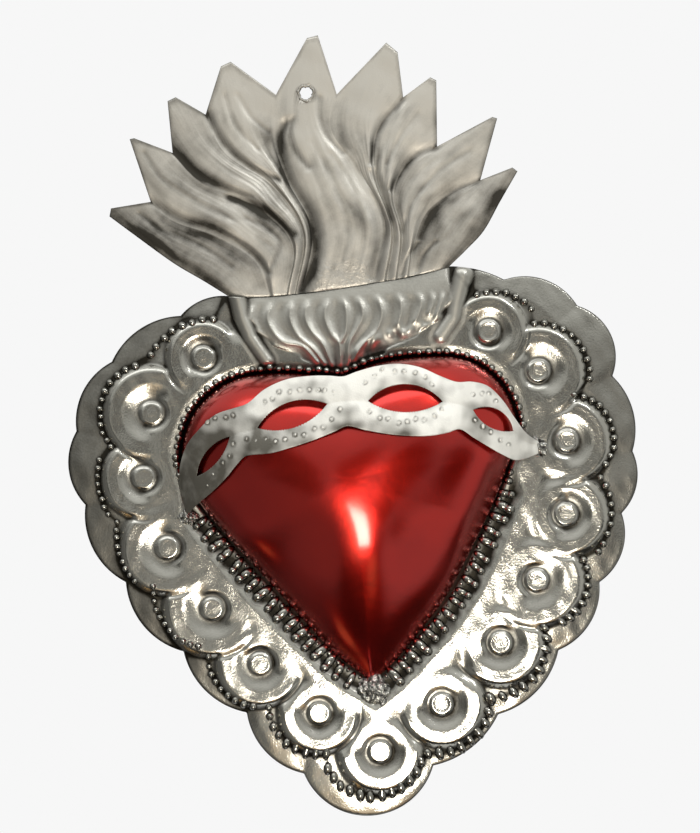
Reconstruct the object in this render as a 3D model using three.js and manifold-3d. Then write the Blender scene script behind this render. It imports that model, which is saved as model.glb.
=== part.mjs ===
// Tin sacred heart: a cut and embossed tinplate plaque (scalloped heart frame, feathered collar and
// flame crest in one sheet), a raised heart shell in red lacquered tin, a pierced crown-of-thorns
// band arched across it, and the solder that holds the shell and the band to the plaque.
//
// Millimetres, +Z up. The wall is the plane y = 0 and the front faces -Y. The origin is the middle
// of the nail hole on the wall plane. Plane points are written [x, z].

import * as THREE from 'three';
import { mergeVertices } from 'three/addons/utils/BufferGeometryUtils.js';
import Module from 'manifold-3d';

const wasm = await Module();
wasm.setup();

// Sheet and clearances
const SHEET = 0.4;              // thickness of the tinplate
const CLEAR = 0.35;             // gap kept between two pieces that touch
const NAIL_HOLE_RADIUS = 1.9;
const HOLE_SIDES = 20;
const CUT_REACH = 40;           // cutters reach this far in front of the wall and behind it

// Relief of the plaque, measured forward from the wall to the back of the sheet
const TROUGH = 0.5;             // flat behind the heart shell
const GUTTER = 1.1;             // bottom of the beaded border beside the heart
const PLATEAU = 2.3;            // field between the border and the petals' ridges
const FLANGE = 0.95;            // outer flange at the outer bead row
const FLANGE_EDGE = 0.15;       // outer flange next to the flat land
const FLANGE_WIDTH = 8.0;
const COLLAR_FOOT = 1.15;       // collar at its edges, then its swell and its raised feather lines
const COLLAR_SWELL = 1.45;
const FEATHER_RISE = 0.55;
const FEATHER_HALF_WIDTH = 1.5;
const SIDE_RIDGE_RISE = 3.4;
const SIDE_RIDGE_RADIUS = 3.2;
const CREST_FOOT = 0.65;        // outline of the crest, and how much its tongues swell above it
const CREST_LEAN = 0.35;
const TONGUE_RISE = 1.3;
const TONGUE_DROP = 0.24;       // share of a flame's width over which its free edge falls

// A petal from the middle of its boss outwards: cup, rim and moat, then a roll and the ridge at
// shares of its radius. The first height is for the closed side, the second for the side towards
// the heart, where a petal runs out into the plateau.
const CUP_RADIUS = 2.1;
const BOSS_RIM = 2.9;
const MOAT_RADIUS = 4.4;
const BOSS_HEIGHTS = [[2.0, 2.0], [1.95, 1.95], [2.4, 2.4], [1.55, 1.65]];
const ROLL_SHARES = [0.76, 0.9, 1];
const ROLL_HEIGHTS = [[2.6, 2.45], [2.4, PLATEAU], [2.55, PLATEAU]];
const RIDGE_TO_BEADS = 2.6;     // from a petal's ridge out to the bead row
const RIDGE_EASE = 0.3;         // the slope outside a petal begins this far inside its ridge
const SLOPE_WIDTH = 2.7;
const OVERLAP_STEP = 0.5;       // a petal falls this far below the petal it lies on
const PETAL_LAP = 0.9;          // width of the edge of a petal over what lies under it
const PETAL_FADE = 3.5;         // the same where it runs out into the plateau
const PLATEAU_WIDTH = 19;       // from the shell's edge, and how softly it ends
const PLATEAU_FADE = 9;
const RIM_LAND = 1.6;           // flat border that lies against the wall

// The frame is drawn with rays from this point
const CENTRE = [4, -118];

// Notches between the scallops of the frame's edge, clockwise from the right end of the crest,
// with the height of the scallop that follows each
const NOTCHES = [
  [38.0, -52.8], [53.5, -57.8], [74.1, -66.8], [82.8, -87.8], [87.1, -109.9], [82.7, -127.6],
  [74.9, -147.1], [61.7, -165.9], [43.0, -183.2], [23.2, -196.7], [-14.3, -196.4], [-29.6, -177.6],
  [-46.6, -158.7], [-61.9, -137.5], [-72.0, -114.4], [-73.1, -92.9], [-61.5, -73.6],
  [-40.7, -61.7], [-26.7, -56.9],
];
const SCALLOP_HEIGHTS = [
  1.0, 4.0, 5.0, 3.2, 2.9, 3.6, 3.8, 3.6, 2.8, 13.4, 3.8, 3.8, 4.2, 4.0, 3.6, 3.6, 3.4, 1.8,
];
const BOSSES = [
  [47.8, -72.5], [61.5, -84.9], [68.2, -105.6], [66.5, -126.8], [56.7, -145.2], [45.0, -162.5],
  [26.8, -179.0], [8.1, -191.4], [-8.6, -179.1], [-24.7, -163.7], [-37.4, -146.9],
  [-49.1, -128.5], [-54.6, -107.8], [-51.0, -89.3], [-34.9, -74.3],
];
// Arc of punched beads outside each boss: first, middle and last point
const BEAD_ARCS = [
  [[45.2, -61.6], [54.4, -61.9], [60.7, -66.7]], [[61.3, -70.9], [75.5, -80.9], [76.1, -88.2]],
  [[71.4, -92.5], [81.9, -103.0], [79.3, -113.1]], [[77.3, -116.7], [79.9, -125.1], [75.2, -138.1]],
  [[70.7, -140.1], [70.6, -150.9], [63.1, -157.6]], [[58.1, -159.0], [53.6, -173.5], [41.3, -178.2]],
  [[41.0, -179.0], [35.0, -190.0], [22.0, -193.1]], [[19.8, -195.3], [5.0, -204.4], [-7.3, -195.4]],
  [[-7.5, -191.0], [-19.0, -187.0], [-23.1, -176.3]],
  [[-27.7, -176.0], [-37.7, -168.6], [-39.7, -160.9]],
  [[-42.1, -157.5], [-52.5, -149.0], [-53.9, -139.0]],
  [[-59.0, -137.4], [-63.7, -125.5], [-63.0, -120.0]],
  [[-65.5, -117.5], [-67.9, -109.0], [-67.0, -101.7]],
  [[-63.3, -98.2], [-66.0, -88.0], [-54.7, -75.2]], [[-50.1, -72.4], [-42.0, -65.4], [-31.2, -63.5]],
];
// Petals are laid from the bottom one up both sides, each over the last
const PETAL_ORDER = [7, 6, 8, 5, 9, 4, 10, 3, 11, 2, 12, 1, 13, 0, 14];
const TOP_LEFT_PETAL_RADIUS = 9.6;

// Edge of the red heart shell, clockwise from the cleft
const CLEFT = [5, -82.8];
const TIP = [7.2, -171.3];
const RIGHT_SIDE = [
  CLEFT, [12, -80.0], [20, -78.7], [30, -78.4], [38, -79.2], [44, -81.7], [49.5, -86.7],
  [53, -93], [54.2, -99], [53.4, -105], [50.8, -111.5], [46.4, -121], [40.6, -131.6],
  [30.6, -148], [22, -157.8], [14, -166], TIP,
];
const LEFT_SIDE = [
  TIP, [-3, -162.4], [-10, -154], [-20, -141.3], [-30, -128.6], [-38.4, -117.2], [-42.3, -110],
  [-43.2, -103], [-42, -96.5], [-39.2, -90.6], [-35, -86], [-30, -82.7], [-25, -80.8],
  [-15, -80.2], [-5, -81.2], CLEFT,
];
const SHELL_CENTRE = [5.5, -112];
const SHELL_DEPTH = 21;
const FRAME_GAP = 1.3;          // from the edge of the shell to the start of the beaded border
const ROUNDING = 0.3;           // rounding of the shell's inner contours, in radians
const KEEL_SLOPE = 0.24;        // soft keel from the middle of the shell down to the tip
const KEEL_ROUND = 7;
const KEEL = [[5.5, -170], [4.5, -150], [6, -125], [7, -100]];
// Flat facet bent along the right side of the shell: its edge, start and rise per millimetre
const FACET = [
  [52, -104], [50.8, -111.5], [46.4, -121], [40.6, -131.6], [30.6, -148], [22, -157.8],
];
const FACET_START = 0.6;
const FACET_RISE = 1.55;

// Top crease of the collar, left to right, and the half width of the feathered field under it
const CREASE = [
  [-26.7, -56.9], [-20.3, -57.6], [-5.2, -57.5], [15.0, -56.0], [29.3, -54.4], [38.0, -52.8],
];
// Raised lines of the feathers, from the top of the collar down towards the cleft
const FEATHERS = [
  [[-20, -60.5], [-20.5, -65], [-17.5, -71], [-11, -75]],
  [[-14.5, -60], [-15.5, -65], [-12, -71], [-6, -73], [-2, -78]],
  [[-8.5, -60], [-9, -65], [-7, -70], [-3, -74], [0, -78.5]],
  [[-3.8, -60], [-4.6, -65], [-3, -69], [0, -73], [2, -79]],
  [[2, -60], [1, -65], [2.5, -70], [4.6, -73], [4.4, -79]],
  [[6.5, -60], [7.3, -64], [6.5, -70], [4.6, -73]],
  [[11, -60], [12, -65], [10, -69], [7.5, -73], [6.5, -79.5]],
  [[16.5, -60], [17.5, -65], [15.5, -70], [11, -74], [8.5, -78]],
  [[22.5, -59], [23.2, -64], [22, -68.5]], [[28, -58.2], [29, -63], [27, -68]],
  [[34.2, -57], [35.2, -61], [33.2, -67]],
];
const COLLAR_BOX = { left: -34, right: 50, bottom: -88 };
const FLUTE_FIELD = [
  { z: -54, centre: 8.6, half: 29.5 }, { z: -62, centre: 8.2, half: 31 },
  { z: -67, centre: 7.6, half: 27.5 }, { z: -71.5, centre: 6.6, half: 21.5 },
  { z: -76, centre: 5.6, half: 12.5 }, { z: -80, centre: 5, half: 6 }, { z: -84, centre: 5, half: 4 },
];
const SIDE_RIDGES = [
  [[-23.6, -57.5], [-22.6, -63.5], [-20.6, -69.5], [-16.5, -76.5]],
  [[41.5, -55.8], [39.6, -61.5], [38.2, -67.5], [34.0, -73.0]],
];

// Folds of the crest: the lines between flames, each from the crease up to the notch between two
// tips. The first and the last are the crest's own lower edges.
const FOLDS = [
  [[-26.7, -56.9], [-33.8, -51.8], [-41.1, -46.8], [-52.9, -37.0], [-59.2, -31.6]],
  [[-14.5, -57.6], [-17.5, -48.0], [-28.5, -39.5], [-41.0, -34.0], [-47.0, -28.2]],
  [[-9.6, -57.6], [-7.0, -43.0], [-17.0, -31.5], [-32.0, -23.5], [-39.7, -14.5]],
  [[-7.2, -57.5], [-3.6, -40.5], [-11.0, -26.5], [-24.5, -15.5], [-29.4, -4.1]],
  [[-5.1, -57.4], [-1.0, -39.5], [-6.9, -25.0], [-10.0, -12.5], [-8.7, 0.2]],
  [[16.0, -56.0], [19.9, -39.0], [13.0, -22.0], [6.6, -10.5], [8.9, -0.9]],
  [[19.6, -55.6], [22.3, -41.0], [18.4, -25.0], [20.0, -12.5], [28.0, -3.1]],
  [[22.8, -55.2], [24.8, -43.0], [23.4, -31.0], [28.0, -22.5], [36.8, -18.0]],
  [[26.2, -54.8], [28.2, -46.0], [32.6, -37.0], [40.5, -31.8], [48.6, -28.6]],
  [[38.0, -52.8], [43.4, -48.2], [48.4, -43.5], [54.0, -35.0], [59.5, -26.8]],
];
// Clipped tips between those notches, left and right corner of each
const FLAME_TIPS = [
  [[-59.2, -31.6], [-58.6, -29.3]], [[-51.8, -9.7], [-50.5, -9.5]], [[-40.1, 0.5], [-37.7, 1.5]],
  [[-24.0, 9.5], [-21.1, 10.6]], [[1.4, 15.9], [4.6, 16.5]], [[24.2, 13.0], [27.3, 10.0]],
  [[36.2, 2.1], [37.9, 1.1]], [[53.3, -10.6], [54.7, -11.1]], [[58.1, -25.6], [59.5, -26.8]],
];
const COLUMNS_PER_FLAME = 7;
const TIP_SHARE = 0.06;         // half the width of a clipped tip, as a share of its flame
const MIDDLE_FLAME = 4;         // lies over the others
// Deepest grooves of the crest
const CREST_GROOVES = [
  {
    line: [[-5, -57], [-0.8, -48], [-0.6, -40], [-2, -33], [-5.6, -27], [-8, -20], [-8.6, -13]],
    halfWidth: 1.6,
    depth: 0.75,
  },
  { line: [[-6.5, -40.5], [-11, -35.5], [-17, -31.5], [-24, -29]], halfWidth: 1.6, depth: 0.45 },
];

// Crown-of-thorns band: stations from left to right, top and bottom edge of each
const BAND_STATIONS = [
  [[-44.4, -110.5], [-42.6, -119.2]], [[-43.4, -104.5], [-39.3, -116.4]],
  [[-40.9, -99.0], [-34.0, -112.5]], [[-37.0, -94.8], [-30.0, -109.0]],
  [[-32.0, -91.0], [-26.5, -105.3]], [[-27.0, -89.6], [-24.2, -103.4]],
  [[-22.8, -88.5], [-22.4, -103.1]], [[-17.5, -84.8], [-17.0, -103.0]],
  [[-11.0, -82.4], [-11.0, -101.8]], [[-4.0, -81.9], [-4.0, -100.0]],
  [[1.0, -82.2], [1.5, -98.2]], [[5.0, -82.7], [5.2, -96.9]], [[9.0, -81.6], [10.0, -98.3]],
  [[15.0, -80.4], [16.0, -99.8]], [[21.0, -80.2], [22.0, -100.8]],
  [[27.0, -81.6], [28.5, -101.2]], [[33.0, -84.7], [33.5, -100.7]],
  [[37.3, -86.5], [37.0, -100.0]], [[41.5, -86.7], [40.7, -102.6]],
  [[46.0, -88.2], [45.0, -105.6]], [[50.0, -92.4], [49.3, -108.4]],
  [[53.3, -97.8], [52.6, -110.0]], [[56.4, -102.4], [55.6, -109.8]],
  [[59.6, -105.0], [59.6, -108.6]],
];
const BAND_STAND_OFF = 0.8;     // from the shell to the back of the band
const BAND_LEAN = 0.25;         // the top edge leans back over the top of the heart
const BAND_DRAW_IN = 0.028;     // share of the way to the shell's middle where the band rests
const BAND_STEPS = 58;
const TAUT_PASSES = 400;        // rounds of pulling the band straight between the points it rests on
// Lens openings: left tip, right tip, height of the upper arc, height of the lower arc
const LENSES = [
  [[-38.7, -108.2], [-28.3, -97.5], 2.4, 1.9], [[-20.2, -95.6], [0.0, -90.2], 4.0, 3.3],
  [[11.6, -90.2], [32.7, -91.8], 4.9, 3.1], [[41.3, -94.8], [52.6, -101.6], 3.4, 2.2],
];

// Solder: centre in the plane, radii across, forward and along, and turn in the plane
const SOLDER_TIP = { at: [7.6, -173.4], radii: [4.6, 3.4, 4.4], turn: 0.3 };
const SOLDER_TAIL = { at: [10.2, -177.2], radii: [1.4, 1.5, 2.4], turn: 0.7 };
const SOLDER_LEFT = { at: [-42.6, -119.8], radii: [3.2, 2.6, 2.6], turn: 0.2 };
const SOLDER_RIGHT = { at: [60.2, -106.8], radii: [2.6, 2.6, 3.6], turn: -0.2 };
const SOLDER_SEAT = 1.6;        // height of the middle of each lump over the wall

// Small helpers on plane points
const mix = (a, b, t) => a + (b - a) * t;
const mixPoint = (p, q, t) => [mix(p[0], q[0], t), mix(p[1], q[1], t)];
const distance = (p, q) => Math.hypot(p[0] - q[0], p[1] - q[1]);
const clamp = (t) => Math.min(Math.max(t, 0), 1);
const smooth = (t) => clamp(t) * clamp(t) * (3 - 2 * clamp(t));

// Profile that eases from knot to knot, level at each
function betweenKnots(value, places, heights) {
  let i = 0;
  while (i + 2 < places.length && value > places[i + 1]) i += 1;
  return mix(heights[i], heights[i + 1], smooth((value - places[i]) / (places[i + 1] - places[i])));
}

// Smooth curve through plane points, ends included
function splineThrough(points, steps) {
  const curve = new THREE.CatmullRomCurve3(points.map(([x, z]) => new THREE.Vector3(x, 0, z)));
  curve.curveType = 'centripetal';
  return curve.getPoints(steps).map((p) => [p.x, p.z]);
}

// Circular arc from a to b that rises by height to the left of a -> b, without its last point
function arcBetween(a, b, height, steps) {
  const chord = distance(a, b);
  const radius = (chord * chord) / (8 * height) + height / 2;
  const halfAngle = Math.asin(Math.min(1, chord / (2 * radius)));
  const along = [(b[0] - a[0]) / chord, (b[1] - a[1]) / chord];
  const across = [-along[1], along[0]];
  return Array.from({ length: steps }, (_, i) => {
    const angle = mix(-halfAngle, halfAngle, i / steps);
    const u = chord / 2 + radius * Math.sin(angle);
    const v = radius * (Math.cos(angle) - Math.cos(halfAngle));
    return [a[0] + u * along[0] + v * across[0], a[1] + u * along[1] + v * across[1]];
  });
}

// Circular arc through three points, both ends included
function arcThrough(a, m, b, steps) {
  const [ma, ba] = [[m[0] - a[0], m[1] - a[1]], [b[0] - a[0], b[1] - a[1]]];
  const [mm, bb] = [Math.hypot(...ma) ** 2 / 2, Math.hypot(...ba) ** 2 / 2];
  const cross = ma[0] * ba[1] - ma[1] * ba[0];
  const centre = [
    a[0] + (mm * ba[1] - bb * ma[1]) / cross, a[1] + (bb * ma[0] - mm * ba[0]) / cross,
  ];
  const start = angleOf(a, centre);
  const turn = (p) => (angleOf(p, centre) - start + 4 * Math.PI) % (2 * Math.PI);
  const sweep = turn(m) < turn(b) ? turn(b) : turn(b) - 2 * Math.PI;
  return Array.from({ length: steps + 1 }, (_, i) => (
    onRay(centre, start + (sweep * i) / steps, distance(a, centre))
  ));
}

// Distance from a centre to a closed outline along a ray, the farthest crossing of several
function rayReach(outline, centre, angle) {
  const ray = [Math.cos(angle), Math.sin(angle)];
  let reach = 0;
  for (let i = 0; i < outline.length; i += 1) {
    const p = [outline[i][0] - centre[0], outline[i][1] - centre[1]];
    const q0 = outline[(i + 1) % outline.length];
    const q = [q0[0] - centre[0], q0[1] - centre[1]];
    const sideP = ray[0] * p[1] - ray[1] * p[0];
    const sideQ = ray[0] * q[1] - ray[1] * q[0];
    if (sideP * sideQ <= 0 && sideP !== sideQ) {
      const hit = mixPoint(p, q, sideP / (sideP - sideQ));
      reach = Math.max(reach, hit[0] * ray[0] + hit[1] * ray[1]);
    }
  }
  return reach;
}

const angleOf = (point, centre) => Math.atan2(point[1] - centre[1], point[0] - centre[0]);
const onRay = (centre, angle, reach) => [
  centre[0] + reach * Math.cos(angle), centre[1] + reach * Math.sin(angle),
];

function distanceToLine(point, line) {
  let best = Infinity;
  for (let i = 0; i + 1 < line.length; i += 1) {
    const [a, b] = [line[i], line[i + 1]];
    const span = [b[0] - a[0], b[1] - a[1]];
    const t = ((point[0] - a[0]) * span[0] + (point[1] - a[1]) * span[1]) / (distance(a, b) ** 2);
    best = Math.min(best, distance(point, mixPoint(a, b, clamp(t))));
  }
  return best;
}

// Outlines
const shellOutline = [
  ...splineThrough(RIGHT_SIDE, 96).slice(0, -1), ...splineThrough(LEFT_SIDE, 96).slice(0, -1),
];
const crease = splineThrough(CREASE, 60);
const scallops = SCALLOP_HEIGHTS.flatMap((height, i) => (
  arcBetween(NOTCHES[i], NOTCHES[i + 1], height, 12)
));
const frameOutline = [...scallops, ...crease];
const beadOutline = [
  ...BEAD_ARCS.flatMap(([start, middle, end]) => arcThrough(start, middle, end, 10)),
  ...crease.map(([x, z]) => [x, z + 1]),
];
const heartReach = (angle) => rayReach(shellOutline, CENTRE, angle) + FRAME_GAP;
const frameReach = (angle) => rayReach(frameOutline, CENTRE, angle);
const beadReach = (angle) => rayReach(beadOutline, CENTRE, angle);

// Reach of the shell's edge averaged over neighbouring angles, for the contours well inside it
const ROUND_STEPS = 360;
const shellReaches = Array.from({ length: ROUND_STEPS }, (_, i) => (
  rayReach(shellOutline, SHELL_CENTRE, (2 * Math.PI * i) / ROUND_STEPS)
));
const roundReaches = shellReaches.map((_, i) => {
  let [sum, weight] = [0, 0];
  shellReaches.forEach((reach, j) => {
    const steps = Math.min(Math.abs(i - j), ROUND_STEPS - Math.abs(i - j));
    const bell = Math.exp(-(((2 * Math.PI * steps) / ROUND_STEPS / ROUNDING) ** 2) / 2);
    sum += bell * reach;
    weight += bell;
  });
  return sum / weight;
});

function roundReach(angle) {
  const place = ((angle / (2 * Math.PI) + 1) % 1) * ROUND_STEPS;
  const i = Math.floor(place) % ROUND_STEPS;
  return mix(roundReaches[i], roundReaches[(i + 1) % ROUND_STEPS], place - Math.floor(place));
}

// How far the soft keel lowers the shell beside its line
function keelFall([x, z]) {
  let i = 0;
  while (i + 2 < KEEL.length && z > KEEL[i + 1][1]) i += 1;
  const [[x0, z0], [x1, z1]] = [KEEL[i], KEEL[i + 1]];
  const line = mix(x0, x1, clamp((z - z0) / (z1 - z0)));
  const beside = Math.hypot(x - line, KEEL_ROUND) - KEEL_ROUND;
  return KEEL_SLOPE * beside * smooth((SHELL_CENTRE[1] + 4 - z) / 16);
}

// Height of the red shell above its seat: a pillow drawn with rays from its middle. Down towards
// the tip it is flat in the middle and then falls evenly like a cone, and sideways it is rounder.
function shellHeight(point) {
  const away = distance(point, SHELL_CENTRE);
  if (away < 1e-6) return SHELL_DEPTH;
  const angle = angleOf(point, SHELL_CENTRE);
  const reach = rayReach(shellOutline, SHELL_CENTRE, angle);
  if (away >= reach) return 0;
  const edgeward = (away / reach) ** 3;
  const share = clamp(away / (reach ** edgeward * roundReach(angle) ** (1 - edgeward)));
  const downward = smooth((-Math.sin(angle) - 0.35) / 0.6);
  const upward = smooth((Math.sin(angle) - 0.1) / 0.8);
  const flatness = 2.1 + 0.5 * downward + 0.9 * upward;
  const fall = 0.5 + 0.3 * downward - 0.02 * upward;
  const pillow = SHELL_DEPTH * (1 - share ** flatness) ** fall;
  return Math.max(pillow - keelFall(point) * smooth((1 - share) / 0.75), 0.3 * pillow);
}

// The same with the facet down the right side
function facetedHeight(point) {
  const pillow = shellHeight(point);
  const plane = FACET_START + FACET_RISE * distanceToLine(point, FACET);
  const right = smooth((point[0] - 18) / 8) * smooth((-104 - point[1]) / 10);
  return mix(pillow, Math.min(pillow, plane), right);
}

// Width of the beaded border beside the heart: one row of beads above, two rows lower down
const [UPPER_BORDER, LOWER_BORDER] = [3.1, 6.9];
const BORDER_STEP = 2.2;        // width of the step from the border up to the plateau
const borderWidth = (z) => mix(UPPER_BORDER, LOWER_BORDER, smooth((-110 - z) / 12));

const petalRadii = BEAD_ARCS.map(([, middle], i) => (
  i === BOSSES.length - 1 ? TOP_LEFT_PETAL_RADIUS : distance(middle, BOSSES[i]) - RIDGE_TO_BEADS
));

// Height of one petal and how much of what lies under it it covers
function petal(index, point, under) {
  const [boss, radius] = [BOSSES[index], petalRadii[index]];
  const away = distance(point, boss);
  const outward = [boss[0] - CENTRE[0], boss[1] - CENTRE[1]];
  const along = (point[0] - boss[0]) * outward[0] + (point[1] - boss[1]) * outward[1];
  const closed = smooth((along / Math.max(away, 1e-6) / Math.hypot(...outward) + 0.55) / 0.7);
  const places = [0, CUP_RADIUS, BOSS_RIM, MOAT_RADIUS, ...ROLL_SHARES.map((share) => share * radius)];
  const heights = [...BOSS_HEIGHTS, ...ROLL_HEIGHTS].map(([shut, open]) => mix(open, shut, closed));
  const foot = mix(PLATEAU, Math.max(FLANGE, under - OVERLAP_STEP), closed);
  const top = betweenKnots(Math.min(away, radius), places, heights);
  const height = mix(top, foot, smooth((away - radius + RIDGE_EASE) / SLOPE_WIDTH));
  const coverOut = smooth((radius - RIDGE_EASE + SLOPE_WIDTH - away) / PETAL_LAP);
  const coverIn = smooth((radius + 1 - away) / PETAL_FADE);
  return { height, cover: mix(coverIn, coverOut, closed) };
}

// Position across the feathered collar, -1 to 1, or beyond where a point is outside it
function flutePlace(point) {
  const z = point[1];
  let i = 0;
  while (i + 2 < FLUTE_FIELD.length && z < FLUTE_FIELD[i + 1].z) i += 1;
  const [upper, lower] = [FLUTE_FIELD[i], FLUTE_FIELD[i + 1]];
  const t = smooth((upper.z - z) / (upper.z - lower.z));
  return (point[0] - mix(upper.centre, lower.centre, t)) / mix(upper.half, lower.half, t);
}

// Relief of the heart frame and the collar: the height of the back of the sheet over the wall
function frameRelief(point) {
  const angle = angleOf(point, CENTRE);
  const reach = distance(point, CENTRE);
  const fromHeart = reach - heartReach(angle);
  if (fromHeart < 0.01) return TROUGH;
  const toEdge = frameReach(angle) - reach;
  const toBeads = beadReach(angle) - reach;
  const fromShell = fromHeart + FRAME_GAP;
  const flange = mix(FLANGE_EDGE, FLANGE, clamp(toEdge / FLANGE_WIDTH) ** 0.85);
  const field = mix(FLANGE, PLATEAU, smooth((PLATEAU_WIDTH - fromShell) / PLATEAU_FADE));
  let relief = mix(flange, field, smooth((toBeads + 0.4) / 1.8));
  for (const index of PETAL_ORDER) {
    const { height, cover } = petal(index, point, relief);
    relief = mix(relief, height, cover);
  }
  if (point[1] > COLLAR_BOX.bottom && point[0] > COLLAR_BOX.left && point[0] < COLLAR_BOX.right) {
    const onCollar = smooth((1.02 - Math.abs(flutePlace(point))) / 0.07);
    const share = clamp(fromShell / (fromShell + toEdge));
    const swell = Math.sin(Math.PI * (0.1 + 0.86 * share)) ** 0.8;
    const near = Math.min(...FEATHERS.map((line) => distanceToLine(point, line)));
    const feather = FEATHER_RISE * Math.exp(-((near / FEATHER_HALF_WIDTH) ** 2));
    relief = mix(relief, COLLAR_FOOT + COLLAR_SWELL * swell + feather - 0.2, onCollar);
    const ridge = Math.min(...SIDE_RIDGES.map((line) => distanceToLine(point, line)));
    relief = Math.max(relief, SIDE_RIDGE_RISE * Math.sqrt(clamp(1 - (ridge / SIDE_RIDGE_RADIUS) ** 2)));
  }
  const gutter = mix(TROUGH, GUTTER, smooth(fromHeart / 1.5));
  const step = smooth((fromShell - borderWidth(point[1])) / BORDER_STEP + 0.75);
  return mix(gutter, relief, step);
}

// The middle flame swells between two free edges. Every other flame tucks under the one nearer
// the middle and has its free edge on the outside.
function tongue(flame, across) {
  if (flame === MIDDLE_FLAME) return smooth(across / TONGUE_DROP) * smooth((1 - across) / TONGUE_DROP);
  const outer = flame < MIDDLE_FLAME ? across : 1 - across;
  const tucked = smooth((outer - TONGUE_DROP) / (1 - TONGUE_DROP)) ** 1.2;
  return smooth(outer / TONGUE_DROP) * (1 - tucked);
}

// Relief of the crest at a share across one flame and a share of the way up
function crestRelief(flame, across, rise, point) {
  const swell = Math.sin(Math.PI * clamp(rise * 0.9 + 0.08)) ** 0.6 * (1 - 0.72 * rise);
  const groove = Math.max(...CREST_GROOVES.map(({ line, halfWidth, depth }) => (
    depth * Math.exp(-((distanceToLine(point, line) / halfWidth) ** 2))
  )));
  return CREST_FOOT + CREST_LEAN * (1 - rise) + TONGUE_RISE * swell * tongue(flame, across) - groove;
}

// Sheet drawn as rows of plane points that are stitched to one another
class Sheet {
  constructor() {
    this.points = [];
    this.triangles = [];
  }

  addRow(points) {
    const first = this.points.length;
    this.points.push(...points);
    return points.map((_, i) => first + i);
  }

  addTriangle(a, b, c) {
    const [p, q, r] = [this.points[a], this.points[b], this.points[c]];
    const turn = (q.x - p.x) * (r.z - p.z) - (q.z - p.z) * (r.x - p.x);
    if (Math.abs(turn) < 1e-7) return;
    this.triangles.push(turn > 0 ? [a, b, c] : [a, c, b]);
  }

  // Joins two rows that run the same way; the one that lags behind takes the next step
  stitch(rowA, rowB) {
    let [i, j] = [0, 0];
    while (i + 1 < rowA.length || j + 1 < rowB.length) {
      const stepA = j + 1 >= rowB.length
        || (i + 1 < rowA.length && (i + 1) / (rowA.length - 1) <= (j + 1) / (rowB.length - 1));
      if (stepA) {
        this.addTriangle(rowA[i], rowA[i + 1], rowB[j]);
        i += 1;
      } else {
        this.addTriangle(rowA[i], rowB[j + 1], rowB[j]);
        j += 1;
      }
    }
  }

  // Closed body between a front and a back surface; both give [x, y, z] for a plane point
  solid(front, back) {
    const count = this.points.length;
    const positions = [...this.points.map(front), ...this.points.map(back)].flat();
    const index = this.triangles.flatMap(([a, b, c]) => [a, b, c, a + count, c + count, b + count]);
    const sides = this.triangles.flatMap(([a, b, c]) => [`${a} ${b}`, `${b} ${c}`, `${c} ${a}`]);
    const edges = new Set(sides);
    for (const edge of edges) {
      const [a, b] = edge.split(' ').map(Number);
      if (!edges.has(`${b} ${a}`)) index.push(b, a, a + count, b, a + count, b + count);
    }
    const geometry = new THREE.BufferGeometry();
    geometry.setAttribute('position', new THREE.Float32BufferAttribute(positions, 3));
    geometry.setIndex(index);
    return geometry;
  }
}

// Booleans
function toManifold(geometry) {
  let bare = geometry.clone();
  bare.deleteAttribute('normal');
  bare.deleteAttribute('uv');
  bare = mergeVertices(bare, 1e-4);
  return new wasm.Manifold(new wasm.Mesh({
    numProp: 3,
    vertProperties: Float32Array.from(bare.attributes.position.array),
    triVerts: Uint32Array.from(bare.index.array),
  }));
}

function toGeometry(manifold) {
  const mesh = manifold.getMesh();
  const geometry = new THREE.BufferGeometry();
  geometry.setAttribute('position', new THREE.BufferAttribute(mesh.vertProperties, 3));
  geometry.setIndex(new THREE.BufferAttribute(mesh.triVerts, 1));
  return geometry;
}

// Cutting can leave slivers that hang on nothing
const largestBody = (manifold) => manifold.decompose().sort((a, b) => b.volume() - a.volume())[0];

// Straight prism along Y through an outline in the plane
function prism(outline, from, to) {
  const shape = new THREE.Shape(outline.map(([x, z]) => new THREE.Vector2(x, z)));
  const geometry = new THREE.ExtrudeGeometry(shape, { depth: to - from, bevelEnabled: false });
  geometry.rotateX(Math.PI / 2);
  geometry.translate(0, to, 0);
  return geometry;
}

// Plaque: frame rows from the shell's edge out to the scallops, crest rows from the crease up
const FINEST_ANGLE = 0.012;     // between two rays of the frame, in radians
const WIDEST_ANGLE = 0.065;
const COLLAR_RAYS = 53;

function frameAngles() {
  const left = angleOf(CREASE[0], CENTRE);
  const right = angleOf(NOTCHES[0], CENTRE);
  const turnFrom = (angle) => (angle - left + 2 * Math.PI) % (2 * Math.PI);
  const keys = NOTCHES.map((notch) => turnFrom(angleOf(notch, CENTRE)));
  for (const boss of BOSSES) {
    const middle = turnFrom(angleOf(boss, CENTRE));
    const reach = distance(boss, CENTRE);
    const steps = [-MOAT_RADIUS, -BOSS_RIM, 0, BOSS_RIM, MOAT_RADIUS];
    keys.push(...steps.map((step) => middle + step / reach));
  }
  const arc = turnFrom(right);
  const sorted = keys.filter((key) => key > 1e-6 && key < arc - 1e-6).sort((a, b) => a - b);
  const spaced = [0];
  for (const key of [...sorted, arc]) {
    const gap = key - spaced.at(-1);
    if (gap < FINEST_ANGLE) continue;
    const parts = Math.ceil(gap / WIDEST_ANGLE);
    for (let i = 1; i <= parts; i += 1) spaced.push(mix(key - gap, key, i / parts));
  }
  spaced[spaced.length - 1] = arc;
  return { frame: spaced.map((turn) => left + turn), left, right: left + arc };
}

const RING_ROWS = 13;
const FOOT_BEFORE_BEADS = 0.2;  // where a petal's slope ends
const LEAST_STEP = 0.6;         // between two rows

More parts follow.
